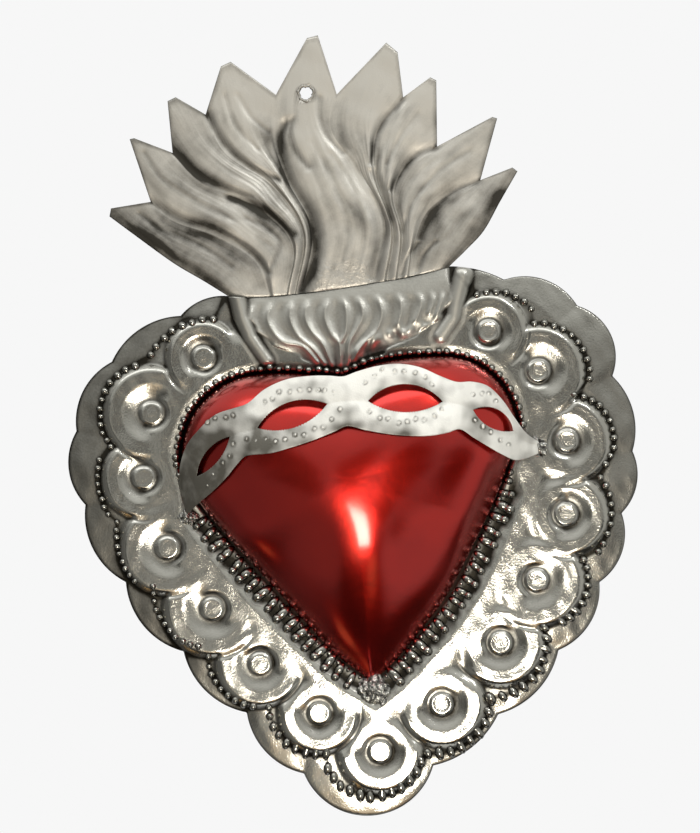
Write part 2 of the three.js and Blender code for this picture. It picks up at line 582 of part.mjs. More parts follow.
// Distances of the rows along a ray: border, plateau, boss, ridge, foot, flange and land
function ringReaches(angle, bossReach) {
  const [inner, outer] = [heartReach(angle), frameReach(angle)];
  const border = inner - FRAME_GAP + borderWidth(onRay(CENTRE, angle, inner)[1]);
  const plateau = border + BORDER_STEP / 4;
  const land = outer - RIM_LAND;
  const foot = Math.min(beadReach(angle) - FOOT_BEFORE_BEADS, land - 2 * LEAST_STEP);
  const ridge = foot - SLOPE_WIDTH;
  const farthest = ridge - MOAT_RADIUS - LEAST_STEP;
  const middle = Math.min(Math.max(bossReach, plateau + MOAT_RADIUS + LEAST_STEP), farthest);
  const rimStart = mix(inner, plateau, 0.4);
  return [
    inner, rimStart, plateau, middle - MOAT_RADIUS, middle - BOSS_RIM, middle, middle + BOSS_RIM,
    middle + MOAT_RADIUS, ridge, foot, mix(foot, land, 0.5), land, outer,
  ];
}

function bossLine(angle) {
  const places = BOSSES.map((boss) => ({ angle: angleOf(boss, CENTRE), reach: distance(boss, CENTRE) }));
  const turn = (a) => (a - angle + 4 * Math.PI) % (2 * Math.PI);
  const next = places.reduce((best, p) => (turn(p.angle) < turn(best.angle) ? p : best));
  const before = places.reduce((best, p) => (turn(p.angle) > turn(best.angle) ? p : best));
  const span = turn(next.angle) + 2 * Math.PI - turn(before.angle);
  return mix(next.reach, before.reach, turn(next.angle) / span);
}

function makePlaqueSheet() {
  const sheet = new Sheet();
  const { frame, left, right } = frameAngles();
  const collar = Array.from({ length: COLLAR_RAYS }, (_, i) => (
    mix(right, left + 2 * Math.PI, (i + 1) / (COLLAR_RAYS + 1))
  ));
  const columns = [...frame.map((angle) => ringReaches(angle, bossLine(angle))),
    ...collar.map((angle) => {
      const [inner, outer] = [heartReach(angle), frameReach(angle)];
      return Array.from({ length: RING_ROWS }, (_, i) => mix(inner, outer, i / (RING_ROWS - 1)));
    })];
  const angles = [...frame, ...collar];
  const rows = Array.from({ length: RING_ROWS }, (_, r) => sheet.addRow(angles.map((angle, i) => {
    const [x, z] = onRay(CENTRE, angle, columns[i][r]);
    const onLand = r > RING_ROWS - 3 && i < frame.length;
    return { x, z, relief: onLand ? 0 : frameRelief([x, z]) };
  })));
  rows.forEach((row) => row.push(row[0]));
  for (let r = 0; r + 1 < rows.length; r += 1) sheet.stitch(rows[r], rows[r + 1]);
  const inner = rows[0].slice(0, -1);
  const floor = inner.map((i) => new THREE.Vector2(sheet.points[i].x, sheet.points[i].z));
  THREE.ShapeUtils.triangulateShape(floor, []).forEach((t) => (
    sheet.addTriangle(inner[t[0]], inner[t[1]], inner[t[2]])
  ));

  const crestBase = [...rows.at(-1).slice(frame.length - 1)].reverse();
  const folds = FOLDS.map((fold) => splineThrough(fold, 10));
  const flames = FOLDS.length - 1;
  const columnsAcross = Array.from({ length: flames * COLUMNS_PER_FLAME + 1 }, (_, i) => {
    const flame = Math.min(Math.floor(i / COLUMNS_PER_FLAME), flames - 1);
    return { flame, share: i / COLUMNS_PER_FLAME - flame };
  });
  let below = crestBase;
  for (let r = 1; r <= 10; r += 1) {
    const row = sheet.addRow(columnsAcross.map(({ flame, share }) => {
      const across = crestShare(flame, share);
      const [x, z] = crestPoint(folds, flame, across, r / 10);
      return { x, z, relief: crestRelief(flame, across, r / 10, [x, z]) };
    }));
    sheet.stitch(below, r === 1 ? [below[0], ...row, below.at(-1)] : row);
    below = row;
  }
  return sheet;
}

// Columns sit on both corners of a clipped tip and on the notches, and evenly between them
function crestShare(flame, share) {
  const step = Math.round(share * COLUMNS_PER_FLAME);
  const side = (COLUMNS_PER_FLAME - 1) / 2;
  const middle = tipMiddle(flame);
  const [low, high] = [Math.max(middle - TIP_SHARE, 0), Math.min(middle + TIP_SHARE, 1)];
  return step <= side ? mix(0, low, step / side) : mix(high, 1, (step - side - 1) / side);
}

function tipMiddle(flame) {
  if (flame === 0) return TIP_SHARE;
  if (flame === FLAME_TIPS.length - 1) return 1 - TIP_SHARE;
  return 0.5;
}

// Point of the crest in one flame: the two folds are mixed, and towards the top the line leaves
// the chord between the notches for the flame's own tip
function crestPoint(folds, flame, across, rise) {
  const along = rise * 10;
  const i = Math.min(Math.floor(along), 9);
  const low = mixPoint(folds[flame][i], folds[flame][i + 1], along - i);
  const high = mixPoint(folds[flame + 1][i], folds[flame + 1][i + 1], along - i);
  const [tipLow, tipHigh] = FLAME_TIPS[flame];
  const middle = tipMiddle(flame);
  const [start, end] = [folds[flame].at(-1), folds[flame + 1].at(-1)];
  let top = mixPoint(tipLow, tipHigh, (across - middle + TIP_SHARE) / (2 * TIP_SHARE));
  if (across < middle - TIP_SHARE) top = mixPoint(start, tipLow, across / (middle - TIP_SHARE));
  if (across > middle + TIP_SHARE) {
    top = mixPoint(tipHigh, end, (across - middle - TIP_SHARE) / (1 - middle - TIP_SHARE));
  }
  const chord = mixPoint(start, end, across);
  const point = mixPoint(low, high, across);
  const lift = clamp((rise - 0.4) / 0.6) ** 1.5;
  return [point[0] + lift * (top[0] - chord[0]), point[1] + lift * (top[1] - chord[1])];
}

const plaqueSheet = makePlaqueSheet();
const plaqueFront = (extra) => (p) => [p.x, -(p.relief + SHEET + extra), p.z];
const plaqueWhole = plaqueSheet.solid(plaqueFront(0), (p) => [p.x, -p.relief, p.z]);
const nailHole = new THREE.CylinderGeometry(
  NAIL_HOLE_RADIUS, NAIL_HOLE_RADIUS, 2 * CUT_REACH, HOLE_SIDES,
);
const plaqueSolid = largestBody(toManifold(plaqueWhole).subtract(toManifold(nailHole)));
const plaqueRoom = toManifold(plaqueSheet.solid(plaqueFront(CLEAR), (p) => [p.x, CUT_REACH, p.z]));

// Shell: rings of rays from its middle; the wall's thickness goes inward along the surface
const SHELL_SEAT = TROUGH + SHEET + CLEAR;
const SHELL_RINGS = [0.2, 0.4, 0.57, 0.7, 0.81, 0.895, 0.955, 0.987, 1];

function shellAngles() {
  const corners = [...RIGHT_SIDE.slice(0, -1), ...LEFT_SIDE.slice(0, -1)]
    .map((point) => angleOf(point, SHELL_CENTRE))
    .sort((a, b) => b - a);
  return corners.flatMap((angle, i) => {
    const next = i + 1 < corners.length ? corners[i + 1] : corners[0] - 2 * Math.PI;
    return [angle, mix(angle, next, 0.5)];
  });
}

// grow swells the shell outward; thick is the thickness of its wall
function makeShell(grow, thick) {
  const angles = shellAngles();
  const sheet = new Sheet();
  const rings = SHELL_RINGS.map((share) => sheet.addRow(angles.map((angle) => {
    const reach = rayReach(shellOutline, SHELL_CENTRE, angle);
    const edge = share === 1;
    const rise = edge ? 0 : facetedHeight(onRay(SHELL_CENTRE, angle, share * reach));
    const [x, z] = onRay(SHELL_CENTRE, angle, share * reach + grow * share * clamp(share * 1.2));
    const [inX, inZ] = onRay(SHELL_CENTRE, angle, share * reach - thick * Math.sqrt(share));
    return {
      x, z, rise: edge ? 0 : rise + grow,
      inX, inZ, inRise: edge ? 0 : Math.max(rise - thick, 0.02 * (1 - share)),
    };
  })));
  const [x, z] = SHELL_CENTRE;
  const [middle] = sheet.addRow([
    { x, z, rise: SHELL_DEPTH + grow, inX: x, inZ: z, inRise: SHELL_DEPTH - thick },
  ]);
  rings.forEach((ring) => ring.push(ring[0]));
  for (let i = 0; i + 1 < rings[0].length; i += 1) {
    sheet.addTriangle(middle, rings[0][i], rings[0][i + 1]);
  }
  for (let r = 0; r + 1 < rings.length; r += 1) sheet.stitch(rings[r], rings[r + 1]);
  return sheet;
}

const shellFront = (p) => [p.x, -(SHELL_SEAT + p.rise), p.z];
const shellSheet = makeShell(0, SHEET);
const shellSolid = shellSheet.solid(shellFront, (p) => [p.inX, -(SHELL_SEAT + p.inRise), p.inZ]);
const shellRoom = toManifold(
  makeShell(CLEAR, SHEET).solid(shellFront, (p) => [p.x, CUT_REACH, p.z]),
);

// Band: a strip laid taut over the shell, straight across its width, with lens openings
function bandRise(point) {
  const inward = mixPoint(point, SHELL_CENTRE, BAND_DRAW_IN);
  return SHELL_SEAT + shellHeight(inward) + BAND_STAND_OFF;
}

function makeBand() {
  const tops = splineThrough(BAND_STATIONS.map((station) => station[0]), BAND_STEPS);
  const bottoms = splineThrough(BAND_STATIONS.map((station) => station[1]), BAND_STEPS);
  const shares = [0, 0.25, 0.5, 0.75, 1];
  const seat = (point) => frameRelief(point) + SHEET + 1.5 * CLEAR;
  const leanBack = (i, share) => BAND_LEAN * distance(tops[i], bottoms[i]) * (1 - share);
  let rises = tops.map((top, i) => Math.max(...shares.map((share) => {
    const point = mixPoint(top, bottoms[i], share);
    return Math.max(bandRise(point), seat(point)) + leanBack(i, share);
  })));
  for (let pass = 0; pass < TAUT_PASSES; pass += 1) {
    rises = rises.map((rise, i) => (
      i === 0 || i === rises.length - 1 ? rise : Math.max(rise, (rises[i - 1] + rises[i + 1]) / 2)
    ));
  }
  const sheet = new Sheet();
  const rows = [0, 0.5, 1].map((share) => sheet.addRow(tops.map((top, i) => {
    const [x, z] = mixPoint(top, bottoms[i], share);
    return { x, z, rise: rises[i] - leanBack(i, share) };
  })));
  for (let r = 0; r + 1 < rows.length; r += 1) sheet.stitch(rows[r], rows[r + 1]);
  return sheet;
}

function lensCut([left, right, upper, lower]) {
  const outline = [...arcBetween(left, right, upper, 14), ...arcBetween(right, left, lower, 14)];
  return toManifold(prism(outline, -CUT_REACH, CUT_REACH));
}

const bandSheet = makeBand();
const bandBody = (extra) => toManifold(bandSheet.solid(
  (p) => [p.x, -(p.rise + SHEET + extra), p.z], (p) => [p.x, -(p.rise - extra), p.z],
));
const bandSolid = LENSES.reduce((rest, lens) => rest.subtract(lensCut(lens)), bandBody(0));
const bandRoom = bandBody(CLEAR);

// Solder: a rounded lump that takes up the shape of what it holds
function lump({ at, radii, turn }) {
  const geometry = new THREE.SphereGeometry(1, 14, 10);
  geometry.scale(...radii);
  geometry.rotateY(turn);
  geometry.translate(at[0], -SOLDER_SEAT, at[1]);
  return toManifold(geometry);
}

function solder(lumps, rooms) {
  const whole = lumps.map(lump).reduce((sum, next) => sum.add(next));
  return largestBody(rooms.reduce((rest, room) => rest.subtract(room), whole));
}

// Finishes
const tin = { metalness: 0.9, roughness: 0.34 };
const plaqueTin = new THREE.MeshStandardMaterial({ color: 0xa8a59b, ...tin });
const bandTin = new THREE.MeshStandardMaterial({ color: 0xd8d9d2, metalness: 0.8, roughness: 0.5 });
const solderMetal = new THREE.MeshStandardMaterial({ color: 0xb9b9b4, metalness: 0.9, roughness: 0.3 });
const redLacquer = new THREE.MeshStandardMaterial({ color: 0xb01016, metalness: 0.6, roughness: 0.18 });

const model = new THREE.Group();
function place(name, geometry, material) {
  const mesh = new THREE.Mesh(geometry, material);
  mesh.name = name;
  model.add(mesh);
}

const rooms = [plaqueRoom, shellRoom, bandRoom];
place('embossed_plaque', toGeometry(plaqueSolid), plaqueTin);
place('heart_shell', shellSolid, redLacquer);
place('thorn_band', toGeometry(bandSolid), bandTin);
place('solder_tip', toGeometry(solder([SOLDER_TIP, SOLDER_TAIL], rooms)), solderMetal);
place('solder_band_left', toGeometry(solder([SOLDER_LEFT], rooms)), solderMetal);
place('solder_band_right', toGeometry(solder([SOLDER_RIGHT], rooms)), solderMetal);

export default model;
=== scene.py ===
"""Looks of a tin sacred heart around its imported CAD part.

The object is a wall ornament: a sheet of embossed tinplate (scalloped heart frame, feathered
collar and flame crest), a raised heart in red lacquered tin, a pale pierced crown-of-thorns band
across it, and the solder that holds them. The geometry is worked out in millimetres on the plane
of the plaque (x to the right, z up, height towards the viewer) and becomes metres in the mesh.
"""

from __future__ import annotations

import logging
import math
from collections.abc import Callable
from dataclasses import dataclass, field
from enum import Enum

import bpy
import numpy as np
from mathutils import Matrix, Vector

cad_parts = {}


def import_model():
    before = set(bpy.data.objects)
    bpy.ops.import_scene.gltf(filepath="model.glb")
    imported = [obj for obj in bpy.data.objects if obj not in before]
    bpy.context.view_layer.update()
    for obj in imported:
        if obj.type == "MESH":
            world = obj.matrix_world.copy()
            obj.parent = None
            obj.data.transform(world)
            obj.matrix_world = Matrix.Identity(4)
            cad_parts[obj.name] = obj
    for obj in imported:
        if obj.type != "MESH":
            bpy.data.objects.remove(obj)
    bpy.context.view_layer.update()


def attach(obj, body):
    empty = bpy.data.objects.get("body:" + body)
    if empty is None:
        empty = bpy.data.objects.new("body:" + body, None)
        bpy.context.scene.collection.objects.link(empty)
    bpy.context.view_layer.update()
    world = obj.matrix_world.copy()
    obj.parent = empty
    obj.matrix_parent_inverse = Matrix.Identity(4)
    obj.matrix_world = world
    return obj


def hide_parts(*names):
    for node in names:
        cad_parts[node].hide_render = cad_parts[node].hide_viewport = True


LOG = logging.getLogger("tin_heart")
MM = 0.001

# Picture
CAMERA_AIM_MM = (6.2, -94.2)
CAMERA_DISTANCE = 0.905
CAMERA_LENS = 135.0
CAMERA_SENSOR = 36.0
CAMERA_ROLL = math.radians(4.0)

# Sheet
SHEET = 0.4
NAIL_HOLE_RADIUS = 1.9
TROUGH = 0.5
CLEAR = 0.35

# The frame is drawn with rays from this point
CENTRE = (4.0, -118.0)

NOTCHES = [
    (38.0, -52.8), (53.5, -57.8), (74.1, -66.8), (82.8, -87.8), (87.1, -109.9), (82.7, -127.6),
    (74.9, -147.1), (61.7, -165.9), (43.0, -183.2), (23.2, -196.7), (-14.3, -196.4),
    (-29.6, -177.6), (-46.6, -158.7), (-61.9, -137.5), (-72.0, -114.4), (-73.1, -92.9),
    (-61.5, -73.6), (-40.7, -61.7), (-26.7, -56.9),
]
SCALLOP_HEIGHTS = [
    1.0, 4.0, 5.0, 3.2, 2.9, 3.6, 3.8, 3.6, 2.8, 13.4, 3.8, 3.8, 4.2, 4.0, 3.6, 3.6, 3.4, 1.8,
]

# Bosses clockwise from the upper right, each with the three points that its arc of punched
# beads runs through
BOSSES = [
    (47.8, -72.5), (61.5, -84.9), (68.2, -105.6), (66.5, -126.8), (56.7, -145.2),
    (45.0, -162.5), (26.8, -179.0), (8.1, -191.4), (-8.6, -179.1), (-24.7, -163.7),
    (-37.4, -146.9), (-49.1, -128.5), (-54.6, -107.8), (-51.0, -89.3), (-34.9, -74.3),
]
BEAD_ARCS = [
    ((45.2, -61.6), (54.4, -61.9), (60.7, -66.7)), ((61.3, -70.9), (75.5, -80.9), (76.1, -88.2)),
    ((71.4, -92.5), (81.9, -103.0), (79.3, -113.1)),
    ((77.3, -116.7), (79.9, -125.1), (75.2, -138.1)),
    ((70.7, -140.1), (70.6, -150.9), (63.1, -157.6)),
    ((58.1, -159.0), (53.6, -173.5), (41.3, -178.2)),
    ((41.0, -179.0), (35.0, -190.0), (22.0, -193.1)),
    ((19.8, -195.3), (5.0, -204.4), (-7.3, -195.4)),
    ((-7.5, -191.0), (-19.0, -187.0), (-23.1, -176.3)),
    ((-27.7, -176.0), (-37.7, -168.6), (-39.7, -160.9)),
    ((-42.1, -157.5), (-52.5, -149.0), (-53.9, -139.0)),
    ((-59.0, -137.4), (-63.7, -125.5), (-63.0, -120.0)),
    ((-65.5, -117.5), (-67.9, -109.0), (-67.0, -101.7)),
    ((-63.3, -98.2), (-66.0, -88.0), (-54.7, -75.2)),
    ((-50.1, -72.4), (-42.0, -65.4), (-31.2, -63.5)),
]

# Edge of the red heart shell, clockwise from the cleft
CLEFT = (5.0, -82.8)
TIP = (7.2, -171.3)
RIGHT_SIDE = [
    CLEFT, (12.0, -80.0), (20.0, -78.7), (30.0, -78.4), (38.0, -79.2), (44.0, -81.7),
    (49.5, -86.7), (53.0, -93.0), (54.2, -99.0), (53.4, -105.0), (50.8, -111.5), (46.4, -121.0),
    (40.6, -131.6), (30.6, -148.0), (22.0, -157.8), (14.0, -166.0), TIP,
]
LEFT_SIDE = [
    TIP, (-3.0, -162.4), (-10.0, -154.0), (-20.0, -141.3), (-30.0, -128.6), (-38.4, -117.2),
    (-42.3, -110.0), (-43.2, -103.0), (-42.0, -96.5), (-39.2, -90.6), (-35.0, -86.0),
    (-30.0, -82.7), (-25.0, -80.8), (-15.0, -80.2), (-5.0, -81.2), CLEFT,
]
SHELL_CENTRE = (5.5, -112.0)
SHELL_DEPTH = 21.0
SHELL_SEAT = TROUGH + SHEET + CLEAR
# Rounding of the shell's inner contours in radians, and its soft keel down to the tip
ROUNDING = 0.3
KEEL_SLOPE = 0.38
KEEL_ROUND = 15.0
KEEL_FLAT = 5.0
KEEL_Z = [-170.0, -150.0, -125.0, -100.0]
KEEL_X = [5.5, 4.5, 6.0, 7.0]

# Collar
CREASE = [
    (-26.7, -56.9), (-20.3, -57.6), (-5.2, -57.5), (15.0, -56.0), (29.3, -54.4), (38.0, -52.8),
]
FEATHER_FIELD_Z = [-84.0, -80.0, -76.0, -71.5, -67.0, -62.0, -54.0]
FEATHER_FIELD_MIDDLE = [5.0, 5.0, 5.6, 6.6, 7.6, 8.2, 8.6]
FEATHER_FIELD_HALF = [4.0, 6.0, 12.5, 21.5, 27.5, 31.0, 29.5]
# Thin raised lines of the feathered collar, from its upper edge down towards the cleft
FEATHER_LINES = [
    [(-20.0, -60.5), (-20.5, -65.0), (-17.5, -71.0), (-11.0, -75.0)],
    [(-14.5, -60.0), (-15.5, -65.0), (-12.0, -71.0), (-6.0, -73.0), (-2.0, -78.0)],
    [(-8.5, -60.0), (-9.0, -65.0), (-7.0, -70.0), (-3.0, -74.0), (0.0, -78.5)],
    [(-3.8, -60.0), (-4.6, -65.0), (-3.0, -69.0), (0.0, -73.0), (2.0, -79.0)],
    [(2.0, -60.0), (1.0, -65.0), (2.5, -70.0), (4.6, -73.0), (4.4, -79.0)],
    [(6.5, -60.0), (7.3, -64.0), (6.5, -70.0), (4.6, -73.0)],
    [(11.0, -60.0), (12.0, -65.0), (10.0, -69.0), (7.5, -73.0), (6.5, -79.5)],
    [(16.5, -60.0), (17.5, -65.0), (15.5, -70.0), (11.0, -74.0), (8.5, -78.0)],
    [(22.5, -59.0), (23.2, -64.0), (22.0, -68.5)],
    [(28.0, -58.2), (29.0, -63.0), (27.0, -68.0)],
    [(31.5, -57.4), (32.5, -62.0), (31.2, -66.0)],
    [(34.2, -57.0), (35.2, -61.0), (33.2, -67.0)],
    [(37.6, -56.6), (38.0, -62.0), (35.6, -67.5)],
]
# Lumpy fold across the foot of the right-hand feathers
LOWER_FOLD = [(9.0, -76.5), (15.0, -73.0), (22.0, -71.2), (29.0, -70.4), (34.0, -71.5)]
SIDE_RIDGES = [
    [(-23.8, -57.2), (-22.8, -63.5), (-20.8, -69.5), (-16.5, -76.5)],
    [(41.5, -55.8), (39.6, -61.5), (38.2, -67.5), (34.0, -73.0)],
]

# Crest: lines between the flames from the crease up to the notches, and the clipped tips
FOLDS = [
    [(-26.7, -56.9), (-33.8, -51.8), (-41.1, -46.8), (-52.9, -37.0), (-59.2, -31.6)],
    [(-14.5, -57.6), (-17.5, -48.0), (-28.5, -39.5), (-41.0, -34.0), (-47.0, -28.2)],
    [(-9.6, -57.6), (-7.0, -43.0), (-17.0, -31.5), (-32.0, -23.5), (-39.7, -14.5)],
    [(-7.2, -57.5), (-3.6, -40.5), (-11.0, -26.5), (-24.5, -15.5), (-29.4, -4.1)],
    [(-5.1, -57.4), (-1.0, -39.5), (-6.9, -25.0), (-10.0, -12.5), (-8.7, 0.2)],
    [(16.0, -56.0), (19.9, -39.0), (13.0, -22.0), (6.6, -10.5), (8.9, -0.9)],
    [(19.6, -55.6), (22.3, -41.0), (18.4, -25.0), (20.0, -12.5), (28.0, -3.1)],
    [(22.8, -55.2), (24.8, -43.0), (23.4, -31.0), (28.0, -22.5), (36.8, -18.0)],
    [(26.2, -54.8), (28.2, -46.0), (32.6, -37.0), (40.5, -31.8), (48.6, -28.6)],
    [(38.0, -52.8), (43.4, -48.2), (48.4, -43.5), (54.0, -35.0), (59.5, -26.8)],
]
FLAME_TIPS = [
    ((-59.2, -31.6), (-58.6, -29.3)), ((-51.8, -9.7), (-50.5, -9.5)), ((-40.1, 0.5), (-37.7, 1.5)),
    ((-24.0, 9.5), (-21.1, 10.6)), ((1.4, 15.9), (4.6, 16.5)), ((24.2, 13.0), (27.3, 10.0)),
    ((36.2, 2.1), (37.9, 1.1)), ((53.3, -10.6), (54.7, -11.1)), ((58.1, -25.6), (59.5, -26.8)),
]
TIP_SHARE = 0.06
MIDDLE_FLAME = 4
# Grooves drawn in the flames: their line, half width, depth and how dark the patina lies in them
CREST_GROOVES = [
    ([(-5.0, -57.0), (-0.8, -48.0), (-0.6, -40.0), (-2.0, -33.0), (-5.6, -27.0), (-8.0, -20.0),
      (-8.6, -13.0), (-6.5, -8.5)], 1.5, 0.75, 0.85),
    ([(-6.5, -40.5), (-11.0, -35.5), (-17.0, -31.5), (-24.0, -29.0)], 1.5, 0.45, 0.75),
    ([(-9.5, -24.5), (-16.5, -21.0), (-22.5, -15.5), (-26.5, -9.5), (-28.6, -4.2)], 1.1, 0.45, 0.7),
    ([(-18.0, -29.0), (-26.0, -25.5), (-33.5, -20.5), (-39.4, -14.0)], 1.0, 0.30, 0.4),
    ([(-14.5, -51.0), (-20.0, -43.5), (-29.0, -37.5), (-39.5, -33.0), (-46.5, -28.4)], 1.1, 0.35, 0.45),
    ([(-14.0, -50.0), (-10.5, -43.0), (-13.5, -38.5), (-20.0, -35.0)], 0.8, 0.20, 0.25),
    ([(-4.6, -7.5), (-5.4, -12.0), (-3.8, -17.0), (-0.8, -21.5)], 0.9, 0.35, 0.65),
    ([(4.0, -1.5), (3.6, -7.5), (5.2, -13.0), (9.5, -18.0)], 0.9, 0.30, 0.45),
    ([(27.6, -4.0), (22.5, -9.0), (18.6, -15.0), (17.4, -21.5)], 1.0, 0.40, 0.6),
    ([(36.4, -18.4), (31.0, -19.8), (26.5, -24.0), (22.4, -29.5)], 1.1, 0.40, 0.6),
    ([(15.6, -54.5), (17.2, -48.0), (20.6, -41.0), (21.5, -33.0), (17.5, -24.0)], 1.3, 0.35, 0.3),
    ([(48.0, -29.0), (41.0, -31.0), (35.0, -36.0), (30.0, -44.0)], 1.0, 0.30, 0.35),
    ([(24.0, -54.5), (26.0, -49.5), (29.5, -45.5)], 0.7, 0.35, 0.35),
    ([(28.5, -54.0), (30.5, -49.5), (34.5, -45.5)], 0.7, 0.30, 0.3),
    ([(-20.0, 1.0), (-16.5, -5.5), (-11.5, -10.5)], 0.7, 0.18, 0.2),
    ([(-23.5, 1.0), (-21.0, -8.0), (-15.0, -15.5)], 0.7, 0.18, 0.2),
    ([(-50.5, -31.5), (-44.0, -36.5), (-34.0, -41.5), (-25.0, -48.5)], 0.9, 0.22, 0.25),
    ([(-48.0, -14.0), (-43.0, -22.0), (-34.0, -29.0), (-24.0, -35.0)], 0.8, 0.20, 0.2),
    ([(6.0, -52.0), (9.5, -40.0), (6.5, -27.0), (0.5, -14.0)], 0.7, 0.16, 0.12),
    ([(11.0, -52.0), (14.0, -40.0), (11.0, -27.0), (6.0, -18.0)], 0.7, 0.16, 0.12),
    ([(32.0, -8.0), (26.0, -15.0), (22.0, -22.0)], 0.7, 0.18, 0.2),
    ([(46.0, -20.0), (37.0, -25.0), (29.0, -33.0), (25.0, -42.0)], 0.8, 0.20, 0.2),
]

# Crown-of-thorns band: top and bottom edge of each station from left to right
BAND_STATIONS = [
    ((-44.4, -110.5), (-42.6, -119.2)), ((-43.4, -104.5), (-39.3, -116.4)),
    ((-40.9, -99.0), (-34.0, -112.5)), ((-37.0, -94.8), (-30.0, -109.0)),
    ((-32.0, -91.0), (-26.5, -105.3)), ((-27.0, -89.6), (-24.2, -103.4)),
    ((-22.8, -88.5), (-22.4, -103.1)), ((-17.5, -84.8), (-17.0, -103.0)),
    ((-11.0, -82.4), (-11.0, -101.8)), ((-4.0, -81.9), (-4.0, -100.0)),
    ((1.0, -82.2), (1.5, -98.2)), ((5.0, -82.7), (5.2, -96.9)), ((9.0, -81.6), (10.0, -98.3)),
    ((15.0, -80.4), (16.0, -99.8)), ((21.0, -80.2), (22.0, -100.8)),
    ((27.0, -81.6), (28.5, -101.2)), ((33.0, -84.7), (33.5, -100.7)),
    ((37.3, -86.5), (37.0, -100.0)), ((41.5, -86.7), (40.7, -102.6)),
    ((46.0, -88.2), (45.0, -105.6)), ((50.0, -92.4), (49.3, -108.4)),
    ((53.3, -97.8), (52.6, -110.0)), ((56.4, -102.4), (55.6, -109.8)),
    ((59.6, -105.0), (59.6, -108.6)),
]
BAND_STAND_OFF = 0.8
BAND_LEAN = 0.25
BAND_DRAW_IN = 0.028
BAND_STEPS = 58
BAND_FINENESS = 7
TAUT_PASSES = 400
LENSES = [
    ((-38.7, -108.2), (-28.3, -97.5), 2.4, 1.9), ((-20.2, -95.6), (0.0, -90.2), 4.0, 3.3),
    ((11.6, -90.2), (32.7, -91.8), 4.9, 3.1), ((41.3, -94.8), (52.6, -101.6), 3.4, 2.2),
]
# Rows of punched dots: first, middle and last dot of each row, and the number of dots
DOT_ROWS = [
    ((-34.0, -93.0), (-30.5, -92.0), (-27.0, -91.6), 4),
    ((-35.4, -110.6), (-31.3, -106.4), (-27.2, -100.2), 5),
    ((-17.5, -89.0), (-8.5, -85.6), (2.6, -87.2), 9),
    ((-23.5, -98.6), (-13.0, -99.4), (-4.0, -97.2), 8),
    ((-1.5, -96.4), (1.5, -94.2), (3.2, -91.6), 3),
    ((11.2, -84.6), (20.0, -82.2), (30.6, -86.4), 8),
    ((12.2, -93.2), (21.5, -96.9), (32.4, -94.6), 9),
    ((41.0, -90.6), (44.6, -90.4), (48.4, -93.6), 4),
    ((41.6, -97.8), (46.4, -102.4), (51.0, -105.6), 5),
]

# Solder: centre in the plane, radii across, forward and along, turn in the plane
SOLDER = {
    "solder_tip": [((7.6, -173.4), (4.6, 3.4, 4.4), 0.3), ((10.2, -177.2), (1.4, 1.5, 2.4), 0.7)],
    "solder_band_left": [((-42.6, -119.8), (3.2, 2.6, 2.6), 0.2)],
    "solder_band_right": [((60.2, -106.8), (2.6, 2.6, 3.6), -0.2)],
}
SOLDER_SEAT = 1.6


Numbers = float | np.ndarray
Point = tuple[float, float] | np.ndarray
Line = np.ndarray | list | tuple


class Slot(Enum):
    """Names of the material slots."""

    PLAQUE = "antiqued_tin"
    LACQUER = "red_lacquered_tin"
    BAND = "bright_tin"
    SOLDER = "solder"


# Curves and fields on the plane of the plaque


def smooth(share: Numbers) -> Numbers:
    """Ease from 0 to 1: three times the square less twice the cube, held flat outside 0 to 1."""
    held = np.clip(share, 0.0, 1.0)
    return held * held * (3.0 - 2.0 * held)


def mix(low: Numbers, high: Numbers, share: Numbers) -> Numbers:
    """Value that is low at share 0 and high at share 1."""
    return low + (high - low) * share


def bell(distance: Numbers, width: float) -> Numbers:
    """Bell curve: 1 at distance 0, falling off over the width."""
    return np.exp(-((distance / width) ** 2))


def full_turn(count: int, start: float = 0.0) -> np.ndarray:
    """Equal angles once round; the start angle isn't repeated at the end."""
    return np.linspace(start, start + 2 * math.pi, count, endpoint=False)


def on_rays(centre: Point, reach: Numbers, angles: Numbers) -> tuple[np.ndarray, np.ndarray]:
    """Plane points at a reach from a centre along each angle."""
    return centre[0] + reach * np.cos(angles), centre[1] + reach * np.sin(angles)


def distances(x: Numbers, z: Numbers, places: np.ndarray) -> np.ndarray:
    """Distance from each plane point, one row each, to each of the places."""
    return np.hypot(x[:, None] - places[:, 0], z[:, None] - places[:, 1])


def spline_through(points: Line, steps: int) -> np.ndarray:
    """Centripetal Catmull-Rom curve through plane points.

    Args:
        points: corner points, at least two.
        steps: number of equal parameter steps.

    Returns:
        Array of steps + 1 plane points, the ends included.
    """
    corners = np.asarray(points, float)
    held = np.vstack([2 * corners[0] - corners[1], corners, 2 * corners[-1] - corners[-2]])
    place = np.linspace(0, len(corners) - 1, steps + 1)
    first = np.minimum(place.astype(int), len(corners) - 2)
    t = (place - first)[:, None]
    p0, p1, p2, p3 = (held[first + k] for k in range(4))
    d0, d1, d2 = (np.sqrt(np.hypot(*(b - a).T))[:, None] for a, b in ((p0, p1), (p1, p2), (p2, p3)))
    leave = ((p1 - p0) / d0 - (p2 - p0) / (d0 + d1) + (p2 - p1) / d1) * d1
    arrive = ((p2 - p1) / d1 - (p3 - p1) / (d1 + d2) + (p3 - p2) / d2) * d1
    square = -3 * p1 + 3 * p2 - 2 * leave - arrive
    cube = 2 * p1 - 2 * p2 + leave + arrive
    return p1 + leave * t + square * t**2 + cube * t**3


